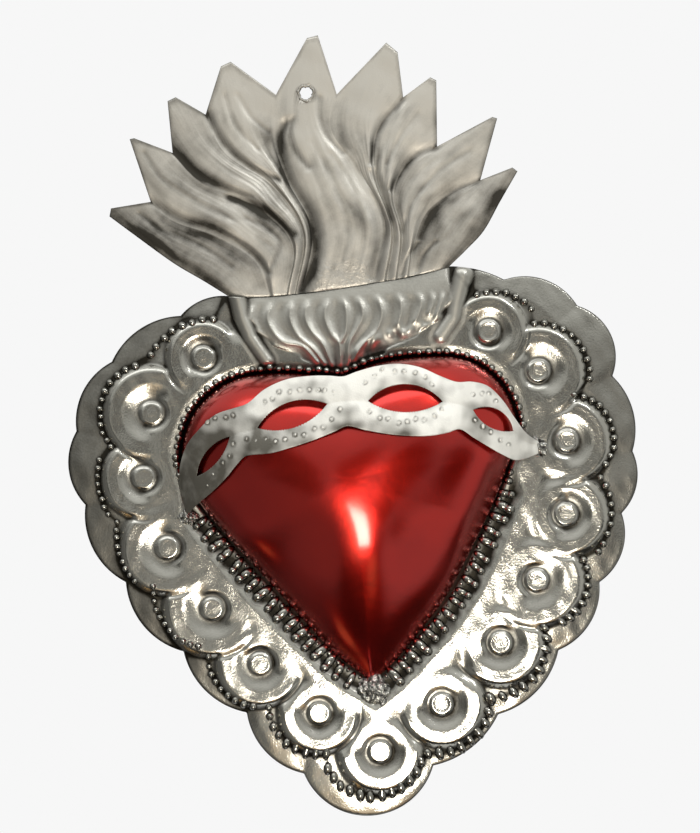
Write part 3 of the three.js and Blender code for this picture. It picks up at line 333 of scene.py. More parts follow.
def arc_between(start: Point, end: Point, height: float, steps: int) -> np.ndarray:
    """Circular arc that rises by height to the left of start to end, without its last point."""
    a, b = np.asarray(start, float), np.asarray(end, float)
    chord = np.hypot(*(b - a))
    radius = chord * chord / (8 * height) + height / 2
    half = math.asin(min(1.0, chord / (2 * radius)))
    along = (b - a) / chord
    across = np.array([-along[1], along[0]])
    turn = mix(-half, half, np.arange(steps) / steps)[:, None]
    u = chord / 2 + radius * np.sin(turn)
    v = radius * (np.cos(turn) - math.cos(half))
    return a + u * along + v * across


def arc_through(start: Point, middle: Point, end: Point, steps: int) -> np.ndarray:
    """Circular arc through three plane points, both ends included."""
    a, m, b = (np.asarray(p, float) for p in (start, middle, end))
    rows = 2 * np.array([m - a, b - a])
    centre = np.linalg.solve(rows, [m @ m - a @ a, b @ b - a @ a])
    turn = [math.atan2(*(p - centre)[::-1]) for p in (a, m, b)]
    to_middle = (turn[1] - turn[0] + math.pi) % (2 * math.pi) - math.pi
    to_end = (turn[2] - turn[1] + math.pi) % (2 * math.pi) - math.pi
    angles = turn[0] + np.linspace(0, to_middle + to_end, steps)
    radius = np.hypot(*(a - centre))
    return centre + radius * np.column_stack([np.cos(angles), np.sin(angles)])


def evenly_along(line: np.ndarray, pitch: Numbers, closed: bool = False) -> np.ndarray:
    """Points along a line at a pitch that may change with place.

    Args:
        line: plane points of the line.
        pitch: function from plane points to the wished distance between neighbours.
        closed: whether the line returns to its first point.
    """
    points = np.vstack([line, line[:1]]) if closed else line
    lengths = np.hypot(*np.diff(points, axis=0).T)
    count_so_far = np.concatenate([[0], np.cumsum(lengths / pitch((points[1:] + points[:-1]) / 2))])
    number = max(int(round(count_so_far[-1])), 1)
    places = np.linspace(0, count_so_far[-1], number + 1)[: number if closed else number + 1]
    return np.column_stack([np.interp(places, count_so_far, points[:, k]) for k in range(2)])


def distance_to_line(x: Numbers, z: Numbers, line: Line) -> np.ndarray:
    """Distance from each plane point to the nearest place on a line of points."""
    points = np.asarray(line, float)
    best = np.full(np.shape(x), np.inf)
    for a, b in zip(points[:-1], points[1:]):
        span = b - a
        t = np.clip(((x - a[0]) * span[0] + (z - a[1]) * span[1]) / (span @ span), 0, 1)
        best = np.minimum(best, np.hypot(x - a[0] - t * span[0], z - a[1] - t * span[1]))
    return best


def between_knots(value: Numbers, places: Line, heights: Line) -> np.ndarray:
    """Profile that eases from knot to knot, level at each."""
    places, heights = np.asarray(places, float), np.asarray(heights, float)
    i = np.clip(np.searchsorted(places, value) - 1, 0, len(places) - 2)
    t = smooth((value - places[i]) / (places[i + 1] - places[i]))
    return mix(heights[i], heights[i + 1], t)


class Waves:
    """Soft, repeatable unevenness: a sum of plane waves with random directions.

    Args:
        seed: number that picks the waves.
        length: typical wave length in millimetres.
        count: number of waves.
    """

    def __init__(self, seed: int, length: float, count: int = 14) -> None:
        """Draws the waves' directions and phases from the seed."""
        chance = np.random.default_rng(seed)
        turn = chance.uniform(0, 2 * math.pi, count)
        rate = 2 * math.pi / (length * chance.uniform(0.6, 1.7, count))
        self.rate_x, self.rate_z = rate * np.cos(turn), rate * np.sin(turn)
        self.start = chance.uniform(0, 2 * math.pi, count)
        self.scale = math.sqrt(2.0 / count)

    def at(self, x: Numbers, z: Numbers) -> np.ndarray:
        """Value at plane points, about -1 to 1 for most of them."""
        total = np.zeros(np.shape(x))
        for rate_x, rate_z, start in zip(self.rate_x, self.rate_z, self.start):
            total = total + np.sin(rate_x * x + rate_z * z + start)
        return total * self.scale


class Rays:
    """Distance from a centre to an outline, tabulated by angle."""

    ANGLES = np.linspace(-math.pi, math.pi, 7201)

    def __init__(self, outline: np.ndarray, centre: Point) -> None:
        """Measures the outline along rays from the centre."""
        self.centre = np.asarray(centre, float)
        ray = np.column_stack([np.cos(self.ANGLES), np.sin(self.ANGLES)])
        a = outline - self.centre
        b = np.roll(a, -1, axis=0)
        side_a = np.outer(ray[:, 0], a[:, 1]) - np.outer(ray[:, 1], a[:, 0])
        side_b = np.outer(ray[:, 0], b[:, 1]) - np.outer(ray[:, 1], b[:, 0])
        crosses = (side_a * side_b <= 0) & (side_a != side_b)
        t = side_a / np.where(crosses, side_a - side_b, 1.0)
        reach = ray[:, :1] * mix(a[:, 0], b[:, 0], t) + ray[:, 1:] * mix(a[:, 1], b[:, 1], t)
        self.reach = np.where(crosses, reach, 0.0).max(axis=1)

    def angle(self, x: Numbers, z: Numbers) -> np.ndarray:
        """Angle of plane points as seen from the centre."""
        return np.arctan2(z - self.centre[1], x - self.centre[0])

    def away(self, x: Numbers, z: Numbers) -> np.ndarray:
        """Distance of plane points from the centre."""
        return np.hypot(x - self.centre[0], z - self.centre[1])

    def at(self, angle: Numbers) -> np.ndarray:
        """Distance to the outline at each angle."""
        turned = (np.asarray(angle) + math.pi) % (2 * math.pi) - math.pi
        return np.interp(turned, self.ANGLES, self.reach)

    def blurred(self, width: float) -> "Rays":
        """Copy whose outline is averaged over neighbouring angles with a bell of this width."""
        copy = object.__new__(Rays)
        copy.centre = self.centre
        step = self.ANGLES[1] - self.ANGLES[0]
        reach = self.reach[:-1]
        turn = np.minimum(np.arange(len(reach)), np.arange(len(reach), 0, -1)) * step
        weight = np.exp(-((turn / width) ** 2) / 2)
        smoothed = np.fft.irfft(np.fft.rfft(reach) * np.fft.rfft(weight / weight.sum()), len(reach))
        copy.reach = np.append(smoothed, smoothed[0])
        return copy


# Outlines

SHELL_OUTLINE = np.vstack([spline_through(RIGHT_SIDE, 288)[:-1], spline_through(LEFT_SIDE, 288)[:-1]])
CREASE_LINE = spline_through(CREASE, 60)
SCALLOPS = np.vstack([
    arc_between(NOTCHES[i], NOTCHES[i + 1], height, 36) for i, height in enumerate(SCALLOP_HEIGHTS)
])
FRAME_OUTLINE = np.vstack([SCALLOPS, CREASE_LINE])
BEAD_LINE = np.vstack([arc_through(*arc, 30) for arc in BEAD_ARCS] + [CREASE_LINE + (0.0, 1.0)])

HEART_RAYS = Rays(SHELL_OUTLINE, CENTRE)
EDGE_RAYS = Rays(FRAME_OUTLINE, CENTRE)
BEAD_RAYS = Rays(BEAD_LINE, CENTRE)
SHELL_RAYS = Rays(SHELL_OUTLINE, SHELL_CENTRE)
ROUND_REACH = SHELL_RAYS.blurred(ROUNDING)


def gaps(x: Numbers, z: Numbers) -> tuple[np.ndarray, np.ndarray, np.ndarray]:
    """Distances along the ray: from the heart's edge, to the bead row and to the outer edge."""
    angle = HEART_RAYS.angle(x, z)
    away = HEART_RAYS.away(x, z)
    return away - HEART_RAYS.at(angle), BEAD_RAYS.at(angle) - away, EDGE_RAYS.at(angle) - away


def lens_outline(lens: Line, steps: int) -> np.ndarray:
    """Closed outline of an opening of the band, from its two arcs."""
    left, right, upper, lower = lens
    return np.vstack([arc_between(left, right, upper, steps), arc_between(right, left, lower, steps)])


@dataclass
class FrameRelief:
    """Height of the front of the embossed heart frame and collar over the wall, in millimetres."""

    flange: float = 1.35
    flange_edge: float = 0.55
    flange_width: float = 8.0
    plateau: float = 2.7
    upper_gutter: float = 2.4
    lower_gutter: float = 1.5
    floor: float = TROUGH + SHEET
    ridge_to_beads: float = 2.6
    top_left_petal: float = 9.6
    # A boss from its middle outwards: cup, rim and moat, then the roll up to the petal's edge
    cup_radius: float = 1.9
    rim_radius: float = 2.6
    moat_radius: float = 3.8
    roll_share: float = 0.74
    roll_towards_heart: float = 5.6
    boss_top: float = 2.5
    cup_height: float = 2.46
    side_ridge_tops: tuple = (3.9, 3.5)
    side_ridge_half_widths: tuple = (3.0, 3.4)
    # Petals are laid from the bottom one up both sides, each over the last
    order: tuple = (7, 6, 8, 5, 9, 4, 10, 3, 11, 2, 12, 1, 13, 0, 14)

    def __post_init__(self) -> None:
        """Works out the petals, the collar's lines and the waves of the sheet."""
        self.petals = [float(np.hypot(*(np.array(arc[1]) - boss))) - self.ridge_to_beads
                       for arc, boss in zip(BEAD_ARCS, BOSSES)]
        self.petals[-1] = self.top_left_petal
        self.feathers = [spline_through(line, 24) for line in FEATHER_LINES]
        self.fold = spline_through(LOWER_FOLD, 24)
        self.waves = Waves(3, 17.0)
        self.small_waves = Waves(4, 6.0)

    @staticmethod
    def lowness(z: Numbers) -> np.ndarray:
        """0 beside the lobes of the heart, 1 lower down, where its border is wider."""
        return smooth((-110.0 - z) / 12.0)

    def border_width(self, z: Numbers) -> np.ndarray:
        """Width of the beaded border beside the heart: one row above, two rows lower down."""
        return mix(2.7, 6.5, self.lowness(z))

    def petal(self, index: int, x: Numbers, z: Numbers, under: Numbers) -> tuple[np.ndarray, np.ndarray]:
        """Profile of one petal and how much it covers.

        From the middle outwards there are a cup with a thin rim, a moat, a broad slow rise to
        the smooth petal and its edge, from which the sheet falls to the bead row, or into a
        shallow crease where a petal lies under it. Towards the heart it runs out level.

        Args:
            index: which petal, clockwise from the upper right.
            x: plane points.
            z: plane points.
            under: height of what the petal is laid over.

        Returns:
            Tuple of height and cover, cover going from 0 to 1.
        """
        boss = np.array(BOSSES[index])
        away = np.hypot(x - boss[0], z - boss[1])
        outward = (boss - CENTRE) / np.hypot(*(boss - CENTRE))
        facing = ((x - boss[0]) * outward[0] + (z - boss[1]) * outward[1]) / np.maximum(away, 1e-6)
        closed = smooth((facing + 0.55) / 0.7)
        radius = self.petals[index]
        lean = 0.12 * self.small_waves.at(boss[0], boss[1])
        rim = 2.52 + 0.16 * smooth((boss[0] + 10.0) / 45.0)
        boss_places = [0.0, self.cup_radius, self.rim_radius, self.moat_radius]
        boss_heights = [self.boss_top, self.cup_height, rim]
        outer = between_knots(away, [*boss_places, self.roll_share * radius, radius],
                              [*boss_heights, 1.95 + lean, 2.85, 2.95])
        inner = between_knots(away, [*boss_places, self.roll_towards_heart, radius],
                              [*boss_heights, 2.05 - lean, 2.72, self.plateau])
        height = mix(inner, outer, closed)
        foot = mix(self.plateau, np.maximum(self.flange, under - 0.5), closed)
        height = mix(height, foot, smooth((away - radius + 0.3) / 2.7))
        cover_out = smooth((radius + 2.4 - away) / 0.9)
        cover_in = smooth((radius + 1.0 - away) / 3.5)
        return height, mix(cover_in, cover_out, closed)

    def collar(self, x: Numbers, z: Numbers) -> tuple[np.ndarray, np.ndarray]:
        """Feathered collar: thin curved lines stand on a smooth swelling strip.

        Returns:
            Tuple of height and cover, cover going from 0 to 1.
        """
        middle = between_knots(z, FEATHER_FIELD_Z, FEATHER_FIELD_MIDDLE)
        half = between_knots(z, FEATHER_FIELD_Z, FEATHER_FIELD_HALF)
        place = (x - middle) / half
        cover = smooth((1.02 - np.abs(place)) / 0.07) * (z > -88) * (np.abs(x - 8) < 42)
        from_heart, _, to_crease = gaps(x, z)
        share = np.clip(from_heart / np.maximum(from_heart + to_crease, 1e-6), 0, 1)
        swell = np.sin(math.pi * np.clip(0.10 + 0.86 * share, 0, 1)) ** 0.8
        near = np.min([distance_to_line(x, z, line) for line in self.feathers], axis=0)
        fold = bell(distance_to_line(x, z, self.fold), 1.6)
        lumps = 1.0 + 0.5 * self.small_waves.at(x * 1.6, z)
        begun = smooth((-59.0 - z) / 3.5)
        lines = (0.5 + 0.25 * smooth((-68.0 - z) / 8.0)) * np.exp(-near / 0.8) * begun
        height = 1.55 + 1.5 * swell + lines - 0.35 * smooth(near / 3.2) * begun
        return height + 0.5 * fold * lumps, cover

    def at(self, x: Numbers, z: Numbers) -> np.ndarray:
        """Height of the front at plane points."""
        from_heart, to_bead, to_edge = gaps(x, z)
        rise = np.clip(to_edge / self.flange_width, 0, 1) ** 0.85
        flange = mix(self.flange_edge, self.flange, rise)
        flange = flange + 0.07 * self.waves.at(x, z) * smooth(to_edge / 4.0)
        field = mix(self.flange, self.plateau, smooth((19.0 - from_heart) / 9.0))
        relief = mix(flange, field, smooth((to_bead + 0.4) / 1.8))
        for index in self.order:
            height, cover = self.petal(index, x, z, relief)
            relief = mix(relief, height, cover)
        relief = relief + 0.03 * self.small_waves.at(x, z) * smooth(to_edge / 2.0)
        collar, cover = self.collar(x, z)
        relief = mix(relief, collar, cover)
        for line, top, half_width in zip(SIDE_RIDGES, self.side_ridge_tops, self.side_ridge_half_widths):
            near = distance_to_line(x, z, line)
            relief = np.maximum(relief, top * np.sqrt(np.clip(1 - (near / half_width) ** 2, 0, 1)))
        low = self.lowness(z)
        bottom = mix(self.upper_gutter, self.lower_gutter, low)
        gutter = mix(self.floor, bottom, smooth(from_heart / 1.6))
        step = (from_heart - self.border_width(z)) / mix(3.2, 5.0, low)
        return mix(gutter, relief, smooth(step + 0.58))

    def satin(self, x: Numbers, z: Numbers) -> np.ndarray:
        """Share of the duller finish that the collar and its side ridges have."""
        cover = self.collar(x, z)[1]
        for line in SIDE_RIDGES:
            cover = np.maximum(cover, smooth((4.0 - distance_to_line(x, z, line)) / 1.5))
        return cover

    def recess(self, x: Numbers, z: Numbers, reach: float) -> np.ndarray:
        """How far the sheet lies under the mean of its surroundings, in millimetres."""
        count = 8
        turns = np.arange(count) * 2 * math.pi / count
        around = sum(self.at(x + reach * math.cos(t), z + reach * math.sin(t)) for t in turns) / count
        return around - self.at(x, z)


RELIEF = FrameRelief()


# Mesh building


@dataclass
class Body:
    """Closed body under construction: vertices in millimetres, faces and per-vertex fields."""

    name: str
    vertices: list[np.ndarray] = field(default_factory=list)
    faces: list[np.ndarray] = field(default_factory=list)
    fields: dict[str, list[np.ndarray]] = field(default_factory=dict)
    count: int = 0

    def add(self, vertices: np.ndarray, faces: list[np.ndarray], **fields) -> int:
        """Adds vertices with faces that count from their first one.

        Args:
            vertices: array of n points as x, height, z in millimetres.
            faces: arrays of triangles or quads.
            fields: values per vertex by attribute name.

        Returns:
            Index of the first added vertex.
        """
        first = self.count
        self.vertices.append(np.asarray(vertices, float))
        self.faces.extend(f + first for f in faces if len(f))
        self.count += len(vertices)
        for key, values in fields.items():
            wide = key.endswith("_offset")
            shape = (len(vertices), 3) if wide else (len(vertices),)
            self.fields.setdefault(key, []).append(np.broadcast_to(values, shape).astype(float))
        return first

    def build(self, material: bpy.types.Material, slot: Slot, *nodes: str) -> bpy.types.Object:
        points = np.vstack(self.vertices)
        points = np.column_stack([points[:, 0], -points[:, 1], points[:, 2]]) * MM
        faces = self.faces
        if signed_volume(points, faces) < 0:
            faces = [f[:, ::-1] for f in faces]
        mesh = bpy.data.meshes.new(self.name)
        mesh.vertices.add(len(points))
        mesh.vertices.foreach_set("co", points.astype(np.float32).ravel())
        loops = np.concatenate([f.ravel() for f in faces])
        sizes = np.concatenate([np.full(len(f), f.shape[1]) for f in faces])
        mesh.loops.add(len(loops))
        mesh.loops.foreach_set("vertex_index", loops.astype(np.int32))
        mesh.polygons.add(len(sizes))
        starts = np.concatenate([[0], np.cumsum(sizes)[:-1]])
        mesh.polygons.foreach_set("loop_start", starts.astype(np.int32))
        mesh.update(calc_edges=True)
        mesh.polygons.foreach_set("use_smooth", np.ones(len(sizes), bool))
        for key, parts in self.fields.items():
            values = np.concatenate(parts)
            flat = values.ndim == 1
            kind, member = ("FLOAT", "value") if flat else ("FLOAT_VECTOR", "vector")
            attribute = mesh.attributes.new(key, kind, "POINT")
            attribute.data.foreach_set(member, values.astype(np.float32).ravel())
        mesh.materials.append(material)
        shape = bpy.data.objects.new(self.name, mesh)
        bpy.context.scene.collection.objects.link(shape)
        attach(shape, "root")
        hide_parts(*nodes)
        triangles = int((sizes - 2).sum())
        LOG.info("%s: %d vertices, %d triangles", self.name, len(points), triangles)
        return shape


def signed_volume(points: np.ndarray, faces: list[np.ndarray]) -> float:
    """Volume inside the faces, negative if they face inwards."""
    total = 0.0
    for group in faces:
        for k in range(1, group.shape[1] - 1):
            a, b, c = points[group[:, 0]], points[group[:, k]], points[group[:, k + 1]]
            total += float(np.einsum("ij,ij->", a, np.cross(b, c))) / 6
    return total


def grid_faces(rows: int, columns: int, wrap: bool) -> np.ndarray:
    """Quads of a grid whose vertices run row by row; wrap joins the last column to the first."""
    last = columns if wrap else columns - 1
    r, c = np.meshgrid(np.arange(rows - 1), np.arange(last), indexing="ij")
    after = (c + 1) % columns
    quads = [r * columns + c, r * columns + after, (r + 1) * columns + after, (r + 1) * columns + c]
    return np.stack(quads, axis=-1).reshape(-1, 4)


def ring_bridge(first: int, second: int, count: int) -> np.ndarray:
    """Quads that join two closed rings of count vertices, given the first index of each."""
    i = np.arange(count)
    after = (i + 1) % count
    return np.stack([first + i, second + i, second + after, first + after], axis=-1)


def fan(ring: int, count: int, middle: int) -> np.ndarray:
    """Triangles from a closed ring of vertices to a middle vertex."""
    i = np.arange(count)
    return np.stack([ring + (i + 1) % count, ring + i, np.full(count, middle)], axis=-1)


def open_edges(quads: np.ndarray) -> np.ndarray:
    """Directed edges that only one quad has, as pairs of vertices."""
    pairs = np.concatenate([quads[:, [k, (k + 1) % 4]] for k in range(4)])
    base = int(quads.max()) + 1
    forward = pairs[:, 0].astype(np.int64) * base + pairs[:, 1]
    backward = pairs[:, 1].astype(np.int64) * base + pairs[:, 0]
    return pairs[~np.isin(forward, backward)]


def thick_sheet(
    front: np.ndarray, back: np.ndarray, quads: np.ndarray
) -> tuple[np.ndarray, list[np.ndarray]]:
    """Closed body of two equal surfaces joined along every open edge.

    Returns:
        Tuple of vertices and a list of face arrays.
    """
    count = len(front)
    edges = open_edges(quads)
    sides = np.column_stack([edges[:, 1], edges[:, 0], edges[:, 0] + count, edges[:, 1] + count])
    return np.vstack([front, back]), [quads, quads[:, ::-1] + count, sides]


def used_only(vertices: np.ndarray, faces: list[np.ndarray]) -> tuple[np.ndarray, list[np.ndarray]]:
    """Mask of the vertices that the faces use, and the faces counted in those alone."""
    used = np.zeros(len(vertices), bool)
    for group in faces:
        used[group] = True
    renumber = np.cumsum(used) - 1
    return used, [renumber[f] for f in faces]


def ball_rings(rise: np.ndarray, segments: int) -> np.ndarray:
    """Rings of points on a unit ball at angles over its middle, as x, height, z."""
    turn = full_turn(segments)
    across = np.cos(rise)[:, None] * np.cos(turn)
    along = np.cos(rise)[:, None] * np.sin(turn)
    up = np.repeat(np.sin(rise)[:, None], segments, axis=1)
    return np.stack([across, up, along], axis=-1).reshape(-1, 3)


# Pieces


@dataclass
class FrameSheet:
    """The heart frame and collar: a ring of the embossed sheet, with the flat disc behind the heart."""

    columns: int = 1180
    front_rows: int = 70
    back_rows: int = 14
    # Steps between rows of the back at which the front is tested
    back_steps: int = 8
    under_heart: float = 1.0
    moat_ring_radius: float = 3.9

    def rows(self, count: int) -> tuple[np.ndarray, np.ndarray]:
        """Plane points of the ring between the heart and the outer edge."""
        angles = full_turn(self.columns, -math.pi)
        inner = HEART_RAYS.at(angles) - self.under_heart
        outer = EDGE_RAYS.at(angles)
        share = np.linspace(0, 1, count) ** 0.96
        return on_rays(CENTRE, mix(inner[None, :], outer[None, :], share[:, None]), angles)

    def behind(self) -> np.ndarray:
        """Heights of the back, low enough that the front shows through nowhere between its rows."""
        steps = self.back_steps
        heights = RELIEF.at(*self.rows((self.back_rows - 1) * steps + 1))
        heights[-1] = SHEET
        lowest = [
            heights[max(row - 1, 0) * steps : (row + 1) * steps + 1].min(axis=0)
            for row in range(self.back_rows)
        ]
        return np.maximum(np.array(lowest) - SHEET, 0.0)

    def patina(self, x: Numbers, z: Numbers) -> np.ndarray:
        """How dark the frame is: antiquing in recesses, along the bead rows and at the outer edge; painted
        shade in the gutter beside the heart, on the left and right flanges, along the left side ridge, by
        the cleft and round the bosses; and darker towards the collar's right.
        """
        from_heart, to_bead, to_edge = gaps(x, z)
        recess = 1.1 * RELIEF.recess(x, z, 1.3) + 0.55 * RELIEF.recess(x, z, 3.0)
        # Painted shade in the gutter between the heart and its beaded border, ragged and wider lower down
        border = RELIEF.border_width(z)
        low = smooth((-112.0 - z) / 14.0)
        ragged = 0.8 * low * Waves(13, 4.0).at(x, z)
        gutter = smooth((border + mix(1.3, 2.3, low) + ragged - from_heart) / mix(1.8, 4.6, low))
        gutter = mix(0.85, 1.0, low) * gutter
        on_flange = smooth((0.8 - to_bead) / 1.2)
        # Painted shade on the flange, heaviest at the left and lighter at the right
        left = smooth((-8.0 - x) / 40.0) * smooth((z + 195.0) / 45.0)
        right = smooth((x - 50.0) / 20.0) * smooth((z + 150.0) / 30.0) * smooth((-68.0 - z) / 22.0)
        flange = on_flange * (0.04 + 0.46 * left + 0.26 * right)
        line = 0.75 * bell(to_bead - 0.4, 1.2) + 0.6 * smooth((0.7 - to_edge) / 0.5)
        # Painted shade along the collar's left side ridge
        line = line + 0.6 * bell(distance_to_line(x, z, SIDE_RIDGES[0]), 2.0)
        # Painted shade beside the heart at the cleft; the collar is also darker towards its right
        cleft_shade = smooth((7.5 - from_heart) / 4.5) * smooth((z + 92.0) / 8.0)
        cleft_shade = cleft_shade * smooth((32.0 - np.abs(x - 8.0)) / 6.0)
        line = line + 0.35 * cleft_shade + 0.18 * RELIEF.satin(x, z) * smooth((x - 12.0) / 16.0)
        waves = 0.05 * Waves(11, 9.0).at(x, z) + 0.02 * Waves(12, 3.0).at(x, z)
        # Antiquing with painted shade round each boss's moat
        moat_shade_rings = self.moat_ring_and_shade(x, z)
        return np.clip(recess + np.maximum(gutter, flange) + line + waves + moat_shade_rings, -0.3, 1.2)

    def moat_ring_and_shade(self, x: Numbers, z: Numbers) -> np.ndarray:
        """Ring of antiquing round each boss's moat with painted shade heaviest at its lower right, and a
        thin film on its top.
        """
        stain = np.zeros(np.shape(x))
        for boss_x, boss_z in BOSSES:
            away = np.hypot(x - boss_x, z - boss_z)
            lower_right = (x - boss_x - z + boss_z) / np.maximum(away, 1e-6) / math.sqrt(2.0)
            # Painted shade heaviest at the lower right of each moat, on a ring of antiquing
            ring = (0.26 + 0.24 * lower_right) * bell(away - self.moat_ring_radius, 1.2)
            stain = np.maximum(stain, ring + 0.2 * smooth((2.6 - away) / 0.6))
        return stain

    @staticmethod
    def boss_fields(x: Numbers, z: Numbers) -> tuple[np.ndarray, np.ndarray]:
        """Offset from the nearest boss and a mask that fades out before the next boss begins."""
        bosses = np.array(BOSSES)
        away = distances(x, z, bosses)
        nearest = away.argmin(axis=1)
        offset = np.column_stack([x - bosses[nearest, 0], z - bosses[nearest, 1], np.zeros(len(x))])
        crisp = 0.35 + 0.65 * smooth((x + 10.0) / 45.0)
        return offset, crisp * smooth(7.5 - away.min(axis=1))

    def build(self, material: bpy.types.Material) -> None:
        """Front ring, floor behind the heart and the plain back of the sheet."""
        body = Body("frame_sheet")
        front_x, front_z = self.rows(self.front_rows)
        back_x, back_z = self.rows(self.back_rows)
        height = RELIEF.at(front_x, front_z)
        behind = self.behind()
        height[-1] = SHEET
        x, z = front_x.ravel(), front_z.ravel()
        offset, near = self.boss_fields(x, z)
        front = body.add(
            np.column_stack([x, height.ravel(), z]),
            [grid_faces(self.front_rows, self.columns, True)],
            patina=self.patina(x, z), satin=RELIEF.satin(x, z), boss_offset=offset * MM, boss_near=near,
        )
        x, z = back_x.ravel(), back_z.ravel()
        back = body.add(
            np.column_stack([x, behind.ravel(), z]),
            [grid_faces(self.back_rows, self.columns, True)[:, ::-1]],
            patina=0.25, satin=1.0, boss_offset=np.zeros(3), boss_near=0.0,
        )
        middles = np.array([[CENTRE[0], RELIEF.floor, CENTRE[1]], [CENTRE[0], TROUGH, CENTRE[1]]])
        middle = body.add(middles, [], patina=0.5, satin=1.0, boss_offset=np.zeros(3), boss_near=0.0)
        columns = self.columns
        rim_front = front + (self.front_rows - 1) * columns
        rim_back = back + (self.back_rows - 1) * columns
        body.faces += [
            ring_bridge(rim_front, rim_back, columns)[:, ::-1],
            fan(front, columns, middle),
            fan(back, columns, middle + 1)[:, ::-1],
        ]
        body.build(material, Slot.PLAQUE, "embossed_plaque")


@dataclass
class Beads:
    """Beads punched in the sheet: a row outside the petals, and a border of beads and drops
    beside the heart."""

    segments: int = 10
    rings: int = 4
    pitch: float = 2.4
    sink: float = 0.12

    def __post_init__(self) -> None:
        """Starts the beads' own random draws."""
        self.chance = np.random.default_rng(7)

    def dome(self) -> tuple[np.ndarray, list[np.ndarray]]:
        """Unit dome of rings under a pole, closed by a middle vertex below."""
        rise = np.linspace(0, math.pi / 2, self.rings, endpoint=False)
        points = np.vstack([ball_rings(rise, self.segments), [[0, 1, 0], [0, -0.3, 0]]])
        top = self.rings * self.segments
        faces = [
            grid_faces(self.rings, self.segments, True),
            fan((self.rings - 1) * self.segments, self.segments, top)[:, ::-1],
            fan(0, self.segments, top + 1),
        ]
        return points, faces

    @staticmethod
    def size(points: np.ndarray) -> np.ndarray:
        """Radius of an outer bead: small at the left, middling at the right, large at the bottom."""
        x, z = points[:, 0], points[:, 1]
        right = smooth((x + 40.0) / 90.0)
        low = smooth((-145.0 - z) / 45.0)
        high = smooth((z + 92.0) / 22.0)
        upper_left = high * smooth((-22.0 - x) / 14.0)
        return 1.0 + 0.15 * np.maximum(right, high) + 0.18 * upper_left + 0.26 * low

    def outer(self) -> np.ndarray:
        """Beads along the arcs outside the petals, as x, z, radius, stretch, turn."""
        rows = []
        for arc in BEAD_ARCS:
            line = arc_through(*arc, 60)
            points = evenly_along(line, lambda p: self.pitch * self.size(p))
            points = points + self.chance.normal(0, 0.12, points.shape)
            radius = self.size(points) * self.chance.uniform(0.88, 1.1, len(points))
            turn = np.arctan2(points[:, 1] - CENTRE[1], points[:, 0] - CENTRE[0])
            lower_right = smooth((points[:, 0] - 22.0) / 20.0) * smooth((-138.0 - points[:, 1]) / 20.0)
            bottom = smooth((-176.0 - points[:, 1]) / 14.0)
            stretch = 1.0 + 0.5 * np.maximum(bottom, lower_right)
            rows.append(np.column_stack([points, radius, stretch, turn]))
        return np.vstack(rows)

    @staticmethod
    def square_to(points: np.ndarray) -> np.ndarray:
        """Angle at which the shell's edge is left squarely at the place nearest each point."""
        away = points[:, None, :] - SHELL_OUTLINE[None, :, :]
        nearest = np.hypot(away[..., 0], away[..., 1]).argmin(axis=1)
        leave = points - SHELL_OUTLINE[nearest]
        return np.arctan2(leave[:, 1], leave[:, 0])

    @staticmethod
    def offset_line(gap: Callable) -> np.ndarray:
        """Line outside the shell's edge at a gap that may change with the angle."""
        angles = full_turn(720, -math.pi)
        return np.column_stack(on_rays(CENTRE, HEART_RAYS.at(angles) + gap(angles), angles))

    def inner(self) -> np.ndarray:
        """Border beside the heart, as x, z, radius, stretch, turn.

        Above it is one row of beads. Below there are long drops, each with a knob outside it, and
        small beads between them on the side of the heart. None lies under the band's ends or
        the solder at the tip.
        """
        def lowness(z: Numbers) -> Numbers:
            """0 above and 1 below, where the border is wide."""
            return smooth((-113.0 - z) / 9.0)

        def gap(angles: Numbers) -> Numbers:
            """Distance of the line from the heart's edge."""
            rough_z = CENTRE[1] + 50 * np.sin(angles)
            return mix(1.5, 3.1, smooth((-116.0 - rough_z) / 8.0))

        line = self.offset_line(gap)
        points = evenly_along(line, lambda p: mix(2.75, 3.9, lowness(p[:, 1])), closed=True)
        points = points + self.chance.normal(0, 0.2, points.shape)
        low = lowness(points[:, 1])
        square = self.square_to(points)
        chance = self.chance.uniform(0.8, 1.12, len(points))
        stretch = mix(1.0, 2.05, low) * self.chance.uniform(0.9, 1.08, len(points))
        rows = [np.column_stack([points, mix(1.2, 1.5, low) * chance, stretch, square])]
        ahead = np.column_stack([np.cos(square), np.sin(square)])
        knob = points + 2.0 * ahead + self.chance.normal(0, 0.1, points.shape)
        rows.append(np.column_stack([knob, 1.5 * chance, np.full(len(knob), 1.1), square])[low > 0.5])
        between = (points + np.roll(points, -1, axis=0)) / 2
        square = self.square_to(between)
        ahead = np.column_stack([np.cos(square), np.sin(square)])
        place = between - 1.5 * ahead + self.chance.normal(0, 0.2, between.shape)
        radius = self.chance.uniform(0.45, 0.85, len(place))
        small = np.column_stack([place, radius, np.full(len(place), 1.25), square])
        rows.append(small[lowness(place[:, 1]) > 0.5])
        beads = np.vstack(rows)
        x, z = beads[:, 0], beads[:, 1]
        under_left = (x < -36) & (z < -113.5) & (z > -121.5)
        under_right = (x > 46) & (z < -102.0) & (z > -112.0)
        (tip_x, tip_z), *_ = SOLDER["solder_tip"][0]
        by_solder = np.hypot(x - tip_x, z - tip_z) < 4.5
        return beads[~(under_left | under_right | by_solder)]

    def build(self, material: bpy.types.Material) -> None:
        """All beads as one piece."""
        beads = np.vstack([self.outer(), self.inner()])
        dome, faces = self.dome()
        body = Body("punched_beads")
        x, z, radius, stretch, turn = beads.T
        base = RELIEF.at(x, z)
        along = dome[None, :, 0] * (radius * stretch)[:, None]
        across = dome[None, :, 2] * radius[:, None]
        px = x[:, None] + along * np.cos(turn)[:, None] - across * np.sin(turn)[:, None]
        pz = z[:, None] + along * np.sin(turn)[:, None] + across * np.cos(turn)[:, None]
